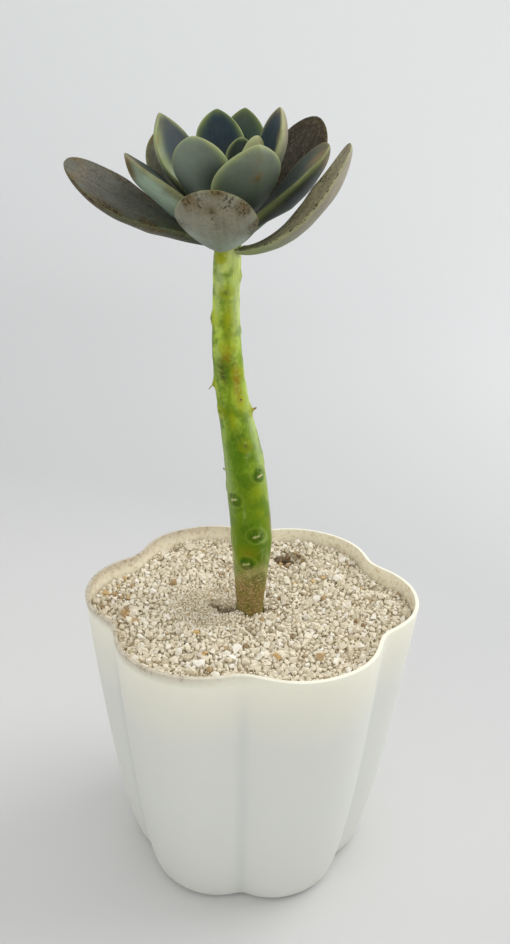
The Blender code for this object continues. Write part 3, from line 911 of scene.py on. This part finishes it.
def make_stem():
    top = STEM_COURSE[-1][0] * MM
    steps = round((top - STEM_BOTTOM) / STEM_STEP)
    rings, found = [], {mask: [] for mask in MASKS}
    for k in range(steps + 1):
        height = STEM_BOTTOM + (top - STEM_BOTTOM) * k / steps
        centre, radius = stem_axis(height)
        warty = math.exp(-((height / MM - WART_MIDDLE) / WART_REACH)**2)
        ring = []
        for a in angles(STEM_AROUND):
            out, _ = outward(a)
            relief, masks = stem_marks(a, height, radius)
            point = centre + out * radius
            relief += LUMP_RELIEF * noise.noise(point / LUMP)
            relief += WART_RELIEF * warty * noise.noise(point / WART)
            ring.append(point + out * (relief * MM))
            for mask in MASKS:
                found[mask].append(masks[mask])
        rings.append(ring)
    centre, radius = stem_axis(top)
    rings.append([centre + Vector((0.0, 0.0, STEM_TIP * radius))])
    stem = add_piece("scarred_stem", loft(rings), stem_skin)
    for mask in MASKS:
        paint(stem, mask, found[mask] + [0.0])
    return stem


stem = make_stem()
dress(stem, "stem_skin", "stem")

# %% [markdown]
# ## Dried ends of old leaves
#
# In the middle of the stem some old leaves left a withered end: a curled sliver, or a nub with a
# dark tip. Each is a small tapered loft that grows out of the stem.

# %% Make the dried ends
# Scar height in mm and direction, length, root radius, rise and curl in degrees.
DRIED_ENDS = ((166, 190, 2.6, 0.4, -30, -40), (158, 350, 2, 0.9, 25, 10),
    (162, 300, 1, 0.8, 20, 40), (158, 220, 0.9, 0.8, 35, 20), (152, 120, 1, 0.7, 20, 40),
    (162, 70, 1.2, 0.7, 30, 30), (148, 285, 0.8, 0.8, 20, 0), (138, 180, 0.9, 0.5, 40, 20),
    (186, 205, 0.7, 0.8, 10, 10))
END_RINGS = 9
END_AROUND = 10
END_FLATNESS = 0.6
END_TIP = 0.03 * MM


def withered_leaf_end():
    material, add, shader = new_material("withered_leaf_end", Roughness=0.7)
    along = add("Attribute", take="Fac", attribute_name="along")
    shade = add("ValToRGB", {"Fac": along}, stops=((0.0, "#A9B93C"), (0.45, "#B8A544"),
        (0.75, "#7A5A30"), (1.0, "#3A2A1A")))
    plug(shader, {"Base Color": shade})
    return material


def make_dried_ends():
    builder = bmesh.new()
    along = []
    for height, direction, length, root, rise, curl in DRIED_ENDS:
        centre, radius = stem_axis(height * MM)
        out, side = outward(math.radians(direction))
        place = centre + out * (radius + 0.1 * MM)
        rings = []
        for k in range(END_RINGS):
            share = k / (END_RINGS - 1)
            tilt = math.radians(rise + curl * share)
            way = out * math.cos(tilt) + Vector((0.0, 0.0, math.sin(tilt)))
            up = side.cross(way) * END_FLATNESS
            thick = root * MM * (1 - share)**0.6 + END_TIP
            rings.append([place + (side * math.cos(a) + up * math.sin(a)) * thick
                for a in angles(END_AROUND)])
            along += [share] * END_AROUND
            place = place + way * (length * MM / (END_RINGS - 1))
        loft(rings, builder=builder)
    ends = add_piece("dried_leaf_ends", builder, withered_leaf_end())
    paint(ends, "along", along)
    return ends


dress(make_dried_ends(), "stem_skin")

# %% [markdown]
# ## The leaves' skin
#
# A graptopetalum leaf has a powdery wax over a blue green skin. The wax wears off as the leaf ages:
# the youngest are slate blue with a yellow green margin, and the oldest have gone grey and olive,
# with brown freckles and stained tips. Some marks are painted light: painted shade in folds, on
# dark under faces and at crowded roots, and painted highlight along a few margins and on one side
# of a keel. One function makes the material, and a table picks the paints of each leaf. The mesh
# says where it is: how far along and across, on which side, and how near the margin.

# %% Paints of the leaves
PAINTS = {
    "ink": "#0E1A22", "slate": "#1F3034", "steel": "#3E4E54", "smoke": "#404238",
    "stone": "#5E5F51", "fir": "#36483A", "navy": "#172E38", "sand": "#9F9872",
    "ash": "#5B594C", "putty": "#8E8A76", "clay": "#A69C88", "pearl": "#CCC4B6",
    "bark": "#261F14", "umber": "#3A3120", "olive": "#4A4822", "khaki": "#74713A",
    "pine": "#223024", "moss": "#43562C", "sage": "#525F4C", "mist": "#75806F",
    "mint": "#A6BCA6", "leek": "#77874A", "lime": "#97A468", "straw": "#B4B684",
}

# Paints of the upper and the under side from root to tip, and the margin's paint. Then the margin's
# strength and its width in mm, and how strong the freckles above and below, the rusty edge and the
# tip's stain are. The darkest root paints are partly the leaves' own colour and partly painted
# shade where the leaves crowd at the stem.
LEAF_LOOKS = (
    ("moss umber smoke", "sage ash ash", "khaki", 0.4, 1.3, 0.7, 0.3, 0.3, 0.2),
    ("khaki sand sand", "leek putty clay", "straw", 0.5, 0.8, 1.4, 0.15, 0.1, 0.3),
    ("moss stone ash", "pine olive umber", "moss", 0.25, 1.6, 0.6, 0.7, 1.4, 0.4),
    ("umber umber umber", "sage ash ash", "olive", 0.3, 1, 1, 0.3, 0.3, 0.1),
    ("sage smoke ash", "mist mist putty", "khaki", 0.3, 0.7, 0.4, 0.2, 1.3, 0.3),
    ("sage ash ash", "sage ash ash", "khaki", 0.6, 1.6, 0.5, 0.4, 0.4, 0.3),
    ("ink pine fir", "ink ink bark", "leek", 0.9, 0.8, 0.15, 0.1, 0.3, 0.4),
    ("slate slate pine", "mint mint mint", "khaki", 0.8, 1, 0, 0.06, 0.2, 0.3),
    ("ink slate fir", "sage mist mist", "leek", 0.7, 1.4, 0, 0, 0, 0.1),
    ("slate slate sage", "pine sage mist", "lime", 0.8, 1, 0, 0.06, 0.1, 0.1),
    ("ink navy navy", "mist mint lime", "lime", 1, 1.6, 0.1, 0.15, 0.2, 0.2),
    ("ink navy navy", "mist mist clay", "straw", 0.9, 1.2, 0, 0.1, 0.2, 0.2),
    ("slate slate sage", "steel mist mist", "lime", 0.8, 1, 0, 0, 0, 0.1),
    ("ink ink navy", "slate sage sage", "leek", 1, 1.5, 0, 0, 0, 0),
    ("sage leek lime", "leek lime straw", "straw", 0.5, 1, 0, 0, 0, 0),
    ("pine sage leek", "sage leek lime", "lime", 0.6, 1, 0, 0, 0, 0),
    ("ink pine pine", "sage sage leek", "lime", 0.8, 0.8, 0, 0, 0, 0),
)
BUD_LOOK = ("sage leek lime", "leek lime straw", "straw", 0.5, 1, 0, 0, 0, 0)
# Two of these marks paint light: a dark one as painted shade, and a pale one as wax bloom and
# painted highlight.
LEAF_MARKS = ("bloom", "worn", "margin", "crest", "rust", "freckles", "stained")
PAINT_PLACES = (0.4, 0.68, 1.0)

# %% Leaf skin
SPECK = 0.85 * MM
CLOUD = 5.0 * MM
STREAK_WIDTH = 1.1
STREAK_LENGTH = 9.0
WAX_IOR = 1.45
OLD_STREAKS = 0.6
YOUNG_STREAKS = 0.15


def waxy_leaf(name, look, streaky):
    material, add, shader = new_material(name, IOR=WAX_IOR, Specular_IOR_Level=0.2,
        Sheen_Weight=0.02, Sheen_Roughness=0.5, Subsurface_Weight=0.06, Subsurface_Scale=1.5 * MM,
        Subsurface_Radius=(0.6, 1.0, 0.4))
    above, below, margin = look[:3]
    masks = {mask: add("Attribute", take="Fac", attribute_name=mask)
        for mask in ("along", "upper", "run", "side", *LEAF_MARKS)}
    place = add("TexCoord", take="Object")
    clouds = add("TexNoise", {"Vector": place, "Scale": 1 / CLOUD, "Detail": 4.0})
    wavering = add("Math", {0: clouds, 1: 0.4, 2: masks["along"]}, operation="MULTIPLY_ADD")
    sides = [add("ValToRGB", {"Fac": wavering}, stops=[(at, PAINTS[paint_name])
        for at, paint_name in zip(PAINT_PLACES, side.split())]) for side in (below, above)]
    current = add("Mix", {0: masks["upper"], 6: sides[0], 7: sides[1]}, **RGBA)

    # The wax lies in long streaks, and is rubbed off in clouds.
    across = add("Math", {0: masks["side"], 1: STREAK_WIDTH}, operation="DIVIDE")
    down = add("Math", {0: masks["run"], 1: STREAK_LENGTH}, operation="DIVIDE")
    leaf_map = add("CombineXYZ", {"X": across, "Y": down, "Z": masks["upper"]})
    streaks = add("TexNoise", {"Vector": leaf_map, "Scale": 1.0, "Detail": 4.0})
    waxed = add("MapRange", {"Value": streaks, "From Min": 0.42, "From Max": 0.75,
        "To Max": 0.3 * streaky})
    bare = add("MapRange", {"Value": streaks, "From Min": 0.5, "From Max": 0.3,
        "To Max": 0.35 * streaky})
    rubbed = add("MapRange", {"Value": clouds, "From Min": 0.45, "From Max": 0.7, "To Max": 0.3})

    # Freckles are dark specks with paler ones between them.
    dots = add("TexNoise", {"Vector": place, "Scale": 1 / SPECK, "Detail": 3.0, "Roughness": 0.65})
    dark_dots = add("MapRange", {"Value": dots, "From Min": 0.5, "From Max": 0.59})
    pale_dots = add("MapRange", {"Value": dots, "From Min": 0.46, "From Max": 0.36, "To Max": 0.5})
    dark_freckles, pale_freckles = (add("Math", {0: spots, 1: masks["freckles"]},
        operation="MULTIPLY") for spots in (dark_dots, pale_dots))
    # The pale grey green is partly wax bloom and partly painted highlight, and the dark green grey
    # is painted shade.
    coats = ((waxed, "#8A9490"), (bare, PAINTS["smoke"]), (rubbed, PAINTS["smoke"]),
        (masks["bloom"], "#98A696"), (masks["worn"], "#223029"), (masks["margin"], PAINTS[margin]),
        (masks["crest"], "#B2B688"), (masks["rust"], "#56461F"), (dark_freckles, "#241C10"),
        (pale_freckles, "#7E6A4C"), (masks["stained"], "#7F6B42"))
    for mask, hex_colour in coats:
        current = add("Mix", {0: mask, 6: current, 7: linear(hex_colour)}, **RGBA)
    roughness = add("MapRange", {"Value": clouds, "To Min": 0.36, "To Max": 0.62})
    grain = add("Math", {0: dots, 1: streaks}, operation="ADD")
    relief = add("Bump", {"Height": grain, "Strength": 0.25, "Distance": 0.12 * MM})
    plug(shader, {"Base Color": current, "Roughness": roughness, "Normal": relief})
    return material


# %% [markdown]
# ## The leaves
#
# Every leaf has one form: a narrow root, its greatest width two thirds of the way out, a face a
# little cupped above, and a belly with a keel below. It is a loft of such sections along a spine
# that starts at the stem and curls up. The leaves follow each other round the stem at about 137.5
# degrees. Each could be sculpted, but a table keeps them alike and still lets every one differ.

# %% A leaf's form
LEAF_AROUND = 48
LEAF_RINGS = 64
LEAF_SPINE_STEPS = 120
LEAF_CROWDING = 0.55
LEAF_ROOT = 0.2
LEAF_ROOT_DEPTH = 0.45
LEAF_SHOULDER = 0.85
LEAF_WIDEST = 0.64
LEAF_BLUNTNESS = 2.2
LEAF_FULL_FROM = 0.4
LEAF_THINS_FROM = 0.55
LEAF_THINNING = 0.6
LEAF_EDGE = 0.22
LEAF_BELLY = 0.78
LEAF_BELLY_CURVE = 0.8
LEAF_CUP = 0.25
LEAF_KEEL = 0.12
LEAF_KEEL_SHARPNESS = 1.5
LEAF_LIFT = 0.15
LEAF_ROOT_ROLL = 0.4
LEAF_LEAN = 0.25
WAVE_LENGTH = 8.0
WAVE = 0.35

# Degrees: direction, rise at the root and at the tip, roll, sideways bend. Millimetres: the rest.
# The last column is how sharp the tip is.
LEAF_COLUMNS = ("direction", "root_height", "length", "width", "thickness", "root_rise",
    "tip_rise", "rise_curve", "roll", "bend", "point")
LEAVES = (
    (105, 205, 44, 21, 6, 10, 45, 1, 0, 0, 0.6),
    (320, 206, 47, 20, 5, -5, 60, 0.5, 35, 5, 0.4),
    (195, 208, 46, 20, 6.5, 15, 35, 0.75, -30, 5, 0.5),
    (35, 209, 42, 18, 5, 35, 65, 0.75, 20, 0, 0.6),
    (266, 208, 42, 21, 6, 5, 40, 1, 0, 0, 0.6),
    (140, 211, 36, 19, 5.5, 30, 70, 1, -20, 0, 0.7),
    (355, 212, 32, 18, 6.5, 35, 50, 0.5, 10, 5, 0.4),
    (210, 210.5, 33, 18, 6.5, 40, 33, 1, -15, 0, 0.3),
    (82, 213, 36, 15, 5, 45, 75, 1, 0, 0, 0.8),
    (285, 211, 29, 21, 5.5, 45, 60, 1, 10, 15, 0.8),
    (170, 213, 33, 21, 5.5, 50, 70, 1, -20, 10, 0.9),
    (5, 215, 30, 17, 6, 65, 80, 1, 15, 0, 0.8),
    (238, 213, 27, 18, 5, 45, 70, 1, 5, 0, 0.7),
    (110, 217, 29, 15, 5, 55, 75, 1, 0, 0, 0.8),
    (320, 218, 19, 9, 3, 70, 75, 1, 0, -5, 0.6),
    (200, 217, 10, 7, 3, 75, 90, 1, 0, 0, 0.8),
    (70, 219, 17, 9, 3, 75, 85, 1, 0, 0, 0.7),
)
OUTER_LEAVES = 8


def leaf_frame(leaf, share):
    """Which way a leaf runs, its left side and its upper side, part of the way along it."""
    rise = leaf["root_rise"] + (leaf["tip_rise"] - leaf["root_rise"]) * share**leaf["rise_curve"]
    rise = math.radians(rise)
    turn = math.radians(leaf["direction"] + leaf["bend"] * share)
    roll = math.radians(leaf["roll"]) * min(1.0, LEAF_ROOT_ROLL + share)
    along = Vector((math.cos(rise) * math.cos(turn), math.cos(rise) * math.sin(turn),
        math.sin(rise)))
    _, left = outward(turn)
    up = along.cross(left)
    return (along, left * math.cos(roll) + up * math.sin(roll),
        up * math.cos(roll) - left * math.sin(roll))


def leaf_spine(leaf):
    """Points along a leaf's middle, from its root at the origin to its tip."""
    step = leaf["length"] * MM / LEAF_SPINE_STEPS
    spine = [Vector((0.0, 0.0, 0.0))]
    for k in range(LEAF_SPINE_STEPS):
        along = leaf_frame(leaf, (k + 0.5) / LEAF_SPINE_STEPS)[0]
        spine.append(spine[-1] + along * step)
    return spine


# %% Breadth and depth of a leaf
def leaf_breadth(share, point):
    """Width along a leaf as a share of the greatest."""
    if share < LEAF_WIDEST:
        k = share / LEAF_WIDEST
        return LEAF_ROOT + (1 - LEAF_ROOT) * (k * k * (3 - 2 * k))**LEAF_SHOULDER
    k = (share - LEAF_WIDEST) / (1 - LEAF_WIDEST)
    return max(0.0, 1 - k**LEAF_BLUNTNESS)**point


def leaf_depth(share):
    """Thickness along a leaf: it swells from the root, stays even and thins to the tip."""
    swelling = LEAF_ROOT_DEPTH + (1 - LEAF_ROOT_DEPTH) * min(1.0, share / LEAF_FULL_FROM)
    k = max(0.0, (share - LEAF_THINS_FROM) / (1 - LEAF_THINS_FROM))
    return swelling * max(0.0, 1 - k**LEAF_BLUNTNESS)**LEAF_THINNING


# %% Points and masks of a leaf
CREST_WIDTH = 0.35
BAND_WIDTH = 2.6
RUST = 0.75
PATCH_LENGTH = 6.0

# Single marks on a leaf, by its number: mask, strength, share along it, share of its half width to
# the left, 1 for the upper or 0 for the under side, and radius in mm. The dark shade marks on
# leaves 7, 8, 10 and 13 are painted shade on under faces, folds and roots. The pale and margin
# marks along leaf 11's margin and the pale mark on leaf 13 are painted highlight.
LEAF_SPOTS = {
    2: (("rust", 0.9, 0.72, -0.35, 0, 0.9), ("rust", 0.7, 0.66, -0.3, 0, 0.6),
        ("stained", 0.4, 0.8, -0.5, 0, 1.4)),
    5: (("rust", 0.8, 0.9, 0, 0, 1.2), ("freckles", 1, 0.86, 0.02, 0, 1.6),
        ("freckles", 0.9, 0.91, 0.5, 0, 1.7), ("freckles", 0.9, 0.9, -0.45, 0, 1.9),
        ("stained", 0.4, 0.35, 0.1, 0, 2.5), ("bloom", 0.8, 0.45, 0.6, 0, 5),
        ("bloom", 0.5, 0.6, -0.7, 0, 4), ("freckles", 0.9, 0.93, 0.75, 0, 2),
        ("freckles", 0.9, 0.93, -0.75, 0, 2)),
    7: (("worn", 0.8, 0.45, 0, 0, 10), ("worn", 0.8, 0.75, -0.4, 0, 8),
        ("worn", 0.6, 0.55, 0, 1, 8), ("stained", 1, 0.86, -0.5, 1, 4),
        ("stained", 0.8, 0.9, -0.6, 0, 2.5), ("freckles", 0.9, 0.78, -0.5, 1, 3)),
    8: (("worn", 0.6, 0.3, 0.3, 0, 7), ("rust", 0.9, 0.96, 0.3, 0, 2.4),
        ("stained", 0.9, 0.93, 0, 0, 3.2), ("stained", 0.9, 0.95, 0, 1, 3),
        ("freckles", 0.9, 0.94, 0.3, 0, 1.8)),
    10: (("worn", 0.9, 0.35, 0.1, 0, 7), ("worn", 0.6, 0.5, 0.7, 0, 5),
        ("rust", 0.9, 0.74, -0.02, 0, 0.7), ("stained", 0.7, 0.76, 0, 0, 1.3),
        ("stained", 0.3, 0.9, -0.1, 0, 1.6)),
    11: (("margin", 0.9, 0.8, 0.95, 1, 3.5), ("margin", 0.8, 0.6, 0.95, 1, 3.5),
        ("bloom", 0.9, 0.3, 0.85, 1, 2.6), ("bloom", 0.9, 0.5, 0.9, 1, 2.6),
        ("bloom", 0.8, 0.7, 0.9, 1, 2.2), ("stained", 0.5, 0.8, 0.9, 1, 1.5)),
    12: (("stained", 0.6, 0.75, -0.8, 1, 1.4), ("stained", 0.5, 0.9, -0.7, 0, 1.2)),
    13: (("bloom", 1, 0.6, -0.6, 0, 7), ("worn", 0.9, 0.55, 0.7, 0, 7),
        ("worn", 0.8, 0.3, 0.2, 0, 7)),
}


def leaf_masks(leaf, look, share, x, y, half):
    """The masks of a place on a leaf: how far along and across it is, and on which side."""
    _, _, _, margin, margin_width, freckles_above, freckles_below, rusty, tip_stain = look
    upper = smooth_step(-0.12, 0.12, y)
    run, side = share * leaf["length"], x * half
    patch = noise.noise(Vector((run, side, leaf["direction"] + 9 * upper)) / PATCH_LENGTH)
    patchy = smooth_step(-0.25, 0.25, patch)
    from_margin = min(half * (1 - abs(x)), (1 - share) * leaf["length"])
    in_band = math.exp(-(from_margin / BAND_WIDTH)**2)
    masks = {"along": share, "run": run, "side": side, "upper": upper, "bloom": 0.0, "worn": 0.0,
        "margin": margin * (0.65 + 0.35 * patchy) * math.exp(-(from_margin / margin_width)**2),
        "crest": 0.6 * margin * math.exp(-(from_margin / CREST_WIDTH)**2),
        "rust": RUST * smooth_step(0.1, 0.5, share) * min(1.0, rusty * patchy * in_band),
        "freckles": (0.45 + 0.55 * patchy) * (freckles_above if upper > 0.5 else freckles_below),
        "stained": tip_stain * patchy * smooth_step(0.8, 0.97, share)}
    masks["freckles"] = max(masks["freckles"], masks["rust"] / RUST)
    for mask, strength, at_share, at_side, face, radius in leaf["spots"]:
        away = math.hypot((share - at_share) * leaf["length"], (x - at_side) * half) / radius
        if round(upper) == face:
            masks[mask] = max(masks[mask], strength * math.exp(-away**2))
    return masks


# %% Build a leaf
def leaf_points(leaf, look, ring_count, around):
    """Rings of a leaf with its root at the origin, and the masks of every point."""
    spine = leaf_spine(leaf)
    rings, found = [], []
    for k in range(ring_count - 1):
        even = k / (ring_count - 1)
        share = LEAF_CROWDING * math.sin(even * math.pi / 2) + (1 - LEAF_CROWDING) * even
        whole = int(share * LEAF_SPINE_STEPS)
        centre = spine[whole].lerp(spine[whole + 1], share * LEAF_SPINE_STEPS - whole)
        _, left, up = leaf_frame(leaf, share)
        half = leaf["width"] / 2 * leaf_breadth(share, leaf["point"])
        depth = leaf["thickness"] * leaf_depth(share)
        edge = LEAF_EDGE * depth
        full = min(1.0, share / LEAF_FULL_FROM)
        ring = []
        for a in angles(around):
            x, y = math.cos(a), math.sin(a)
            bulge = 1 - x * x
            ridge = max(0.0, 1 - LEAF_KEEL_SHARPNESS * abs(x))**LEAF_KEEL_SHARPNESS
            if y >= 0:
                lift = edge * y - LEAF_CUP * depth * bulge
            else:
                lift = (edge * y - (LEAF_BELLY * depth - edge) * bulge**LEAF_BELLY_CURVE
                    - LEAF_KEEL * depth * full * ridge)
            swell = Vector((share * leaf["length"], 3 * x, leaf["direction"])) / WAVE_LENGTH
            lift += WAVE * full * noise.noise(swell) + LEAF_LIFT * depth
            ring.append(centre + left * (x * half * MM) + up * (lift * MM))
            found.append(leaf_masks(leaf, look, share, x, y, half))
        rings.append(ring)
    rings.append([spine[-1]])
    found.append(leaf_masks(leaf, look, 1.0, 1.0, 0.0, 0.0))
    return rings, found


def make_leaf(name, leaf, look, skin, location, ring_count, around):
    rings, found = leaf_points(leaf, look, ring_count, around)
    blade = add_piece(name, loft(rings), skin, location, sharp=80.0)
    for mask in found[0]:
        paint(blade, mask, [masks[mask] for masks in found])
    return blade


def leaf_root(leaf):
    """Where a leaf starts: just off the stem's skin on the side that it faces."""
    centre, radius = stem_axis(leaf["root_height"] * MM)
    out, _ = outward(math.radians(leaf["direction"]))
    tilt = abs(math.sin(math.radians(leaf["root_rise"])))
    lean = LEAF_LEAN * LEAF_ROOT_DEPTH * leaf["thickness"] * MM * tilt
    return centre + out * (radius + CLEARANCE + lean)


# %% Make the leaves
for number, (row, look) in enumerate(zip(LEAVES, LEAF_LOOKS), start=1):
    leaf = dict(zip(LEAF_COLUMNS, row), spots=LEAF_SPOTS.get(number, ()))
    skin = waxy_leaf(f"waxy_leaf_{number:02d}", look,
        OLD_STREAKS if number <= OUTER_LEAVES else YOUNG_STREAKS)
    blade = make_leaf(f"leaf_blade_{number:02d}", leaf, look, skin, leaf_root(leaf), LEAF_RINGS,
        LEAF_AROUND)
    slot = "outer_leaf_skin" if number <= OUTER_LEAVES else "inner_leaf_skin"
    dress(blade, slot, f"leaf_{number:02d}")

# %% [markdown]
# ## The bud
#
# At the top of the stem the next leaves are still closed over the growing point. Three small leaves
# of the same form lean together round a round core, and a Boolean union makes them one.

# %% Make the bud
BUD_LEAVES = 3
BUD_TURN = 20
BUD_LEAF = {"length": 5.0, "width": 3.2, "thickness": 2.0, "root_rise": 58, "tip_rise": 100,
    "rise_curve": 1.0, "roll": 0, "bend": 0, "point": 0.8, "spots": ()}
BUD_RINGS = 24
BUD_AROUND = 24
BUD_CORE = 1.5 * MM
BUD_LEAF_OUT = 0.5 * MM
BUD_LEAF_UP = 0.9 * MM


def make_bud():
    centre, radius = stem_axis(STEM_COURSE[-1][0] * MM)
    foot = centre + Vector((0.0, 0.0, STEM_TIP * radius + CLEARANCE))
    skin = waxy_leaf("waxy_bud", BUD_LOOK, YOUNG_STREAKS)
    core = bmesh.new()
    bmesh.ops.create_uvsphere(core, u_segments=24, v_segments=16, radius=BUD_CORE)
    bmesh.ops.translate(core, verts=core.verts, vec=(0.0, 0.0, BUD_CORE))
    bud = add_piece("closed_bud", core, skin, foot, sharp=80.0)
    paint(bud, "along", [0.3] * len(bud.data.vertices))
    small = spare_parts("bud_leaves")
    for number in range(1, BUD_LEAVES + 1):
        leaf = {"direction": BUD_TURN + 360 * number / BUD_LEAVES, **BUD_LEAF}
        turn = math.radians(leaf["direction"])
        place = Vector((BUD_LEAF_OUT * math.cos(turn), BUD_LEAF_OUT * math.sin(turn), BUD_LEAF_UP))
        piece = make_leaf(f"bud_leaf_{number}", leaf, BUD_LOOK, skin, foot + place, BUD_RINGS,
            BUD_AROUND)
        bpy.context.scene.collection.objects.unlink(piece)
        small.objects.link(piece)
    join = bud.modifiers.new("join", "BOOLEAN")
    join.operation = "UNION"
    join.operand_type = "COLLECTION"
    join.collection = small
    settle_modifiers(bud, small)
    return bud


dress(make_bud(), "inner_leaf_skin", "bud")

# %% [markdown]
# ## The studio
#
# The plant stands on a seamless pale sweep: a floor that curves up into a wall all round, so that
# no horizon shows. Soft light comes from above, a little stronger from the right, and the sky fills
# the shadows. The paper's colour adds painted light and shadow: darker near the plant and to the
# left, lighter far off and up the wall.

# %% Sweep
SWEEP_FLOOR = 1.0
SWEEP_CURVE = 1.1
SWEEP_WALL = 1.2
SWEEP_AROUND = 96
SWEEP_BENDS = 16


def pale_paper():
    material, add, shader = new_material("pale_paper", Roughness=0.9)
    place = add("TexCoord", take="Object")
    # Painted light and shadow: the colour follows distance and side, darkest a little way from the
    # plant and to the left, lightest far off and up the wall.
    away = add("VectorMath", {0: place}, "Value", operation="LENGTH")
    sideways = add("SeparateXYZ", {"Vector": place}, "X")
    painted_falloff = add("Math", {0: sideways, 1: 0.6, 2: away}, operation="MULTIPLY_ADD")
    far = add("MapRange", {"Value": painted_falloff, "From Max": 2.4})
    shade = add("ValToRGB", {"Fac": far}, stops=((0.0, "#D6D5D3"), (0.12, "#C5C5C5"),
        (0.3, "#D0D0D0"), (0.5, "#DCDDDD"), (1.0, "#F7F8F7")))
    plug(shader, {"Base Color": shade})
    return material


def make_sweep():
    profile = [(0.0, 0.0)] + [(SWEEP_FLOOR * k / 4, 0.0) for k in range(1, 5)]
    for k in range(1, SWEEP_BENDS + 1):
        bend = math.pi / 2 * k / SWEEP_BENDS
        profile.append((SWEEP_FLOOR + SWEEP_CURVE * math.sin(bend),
            SWEEP_CURVE * (1 - math.cos(bend))))
    profile.append((SWEEP_FLOOR + SWEEP_CURVE, SWEEP_WALL))
    rings = [[Vector((0.0, 0.0, 0.0))]]
    rings += [[Vector((r * math.cos(a), r * math.sin(a), z)) for a in angles(SWEEP_AROUND)]
        for r, z in profile[1:]]
    return add_piece("sweep", loft(rings, ends="open"), pale_paper())


make_sweep()

# %% Light
SKY_STRENGTH = 0.95
SOFTBOX_AIM = Vector((0.0, 0.0, 0.1))
SOFTBOXES = (("key", (0.8, 0.3, 0.9), 0.9, 6.6), ("front", (-0.7, -1.0, 0.8), 0.9, 1.8))


def light_studio():
    world = bpy.data.worlds.new("studio_sky")
    world.use_nodes = True
    sky = world.node_tree.nodes["Background"]
    sky.inputs["Color"].default_value = linear("#F6F7F8")
    sky.inputs["Strength"].default_value = SKY_STRENGTH
    bpy.context.scene.world = world
    for name, place, size, power in SOFTBOXES:
        lamp = bpy.data.lights.new(name, "AREA")
        lamp.size = size
        lamp.energy = power
        softbox = bpy.data.objects.new(name, lamp)
        softbox.location = place
        aim = SOFTBOX_AIM - Vector(place)
        softbox.rotation_euler = aim.to_track_quat("-Z", "Y").to_euler()
        bpy.context.scene.collection.objects.link(softbox)
    bpy.context.scene.view_settings.view_transform = "Standard"


light_studio()
print("softboxes:", ", ".join(name for name, *_ in SOFTBOXES))

# %% [markdown]
# ## The camera
#
# It stands about 25 cm in front of the plant, as high as the rosette, and looks down by 21 degrees.
# It is turned by a degree or so, as a hand-held one is.

# %% Camera
CAMERA_PLACE = (0.00012, -0.25425, 0.23481)
CAMERA_DIP = math.radians(20.95)
CAMERA_ROLL = math.radians(1.36)
SENSOR = 36.0
FOCAL_PIXELS = 865.5
IMAGE_HEIGHT = 944
NEAR_CLIP = 10 * MM


def place_camera():
    lens = bpy.data.cameras.new("camera")
    lens.sensor_width = SENSOR
    lens.lens = SENSOR * FOCAL_PIXELS / IMAGE_HEIGHT
    lens.clip_start = NEAR_CLIP
    camera = bpy.data.objects.new("camera", lens)
    look = Vector((0.0, math.cos(CAMERA_DIP), -math.sin(CAMERA_DIP)))
    level = Vector((1.0, 0.0, 0.0))
    upright = Vector((0.0, math.sin(CAMERA_DIP), math.cos(CAMERA_DIP)))
    right = level * math.cos(CAMERA_ROLL) + upright * math.sin(CAMERA_ROLL)
    up = upright * math.cos(CAMERA_ROLL) - level * math.sin(CAMERA_ROLL)
    camera.matrix_world = Matrix(((right.x, up.x, -look.x, CAMERA_PLACE[0]),
        (right.y, up.y, -look.y, CAMERA_PLACE[1]), (right.z, up.z, -look.z, CAMERA_PLACE[2]),
        (0.0, 0.0, 0.0, 1.0)))
    bpy.context.scene.collection.objects.link(camera)
    bpy.context.scene.camera = camera


place_camera()
print("camera at", CAMERA_PLACE)
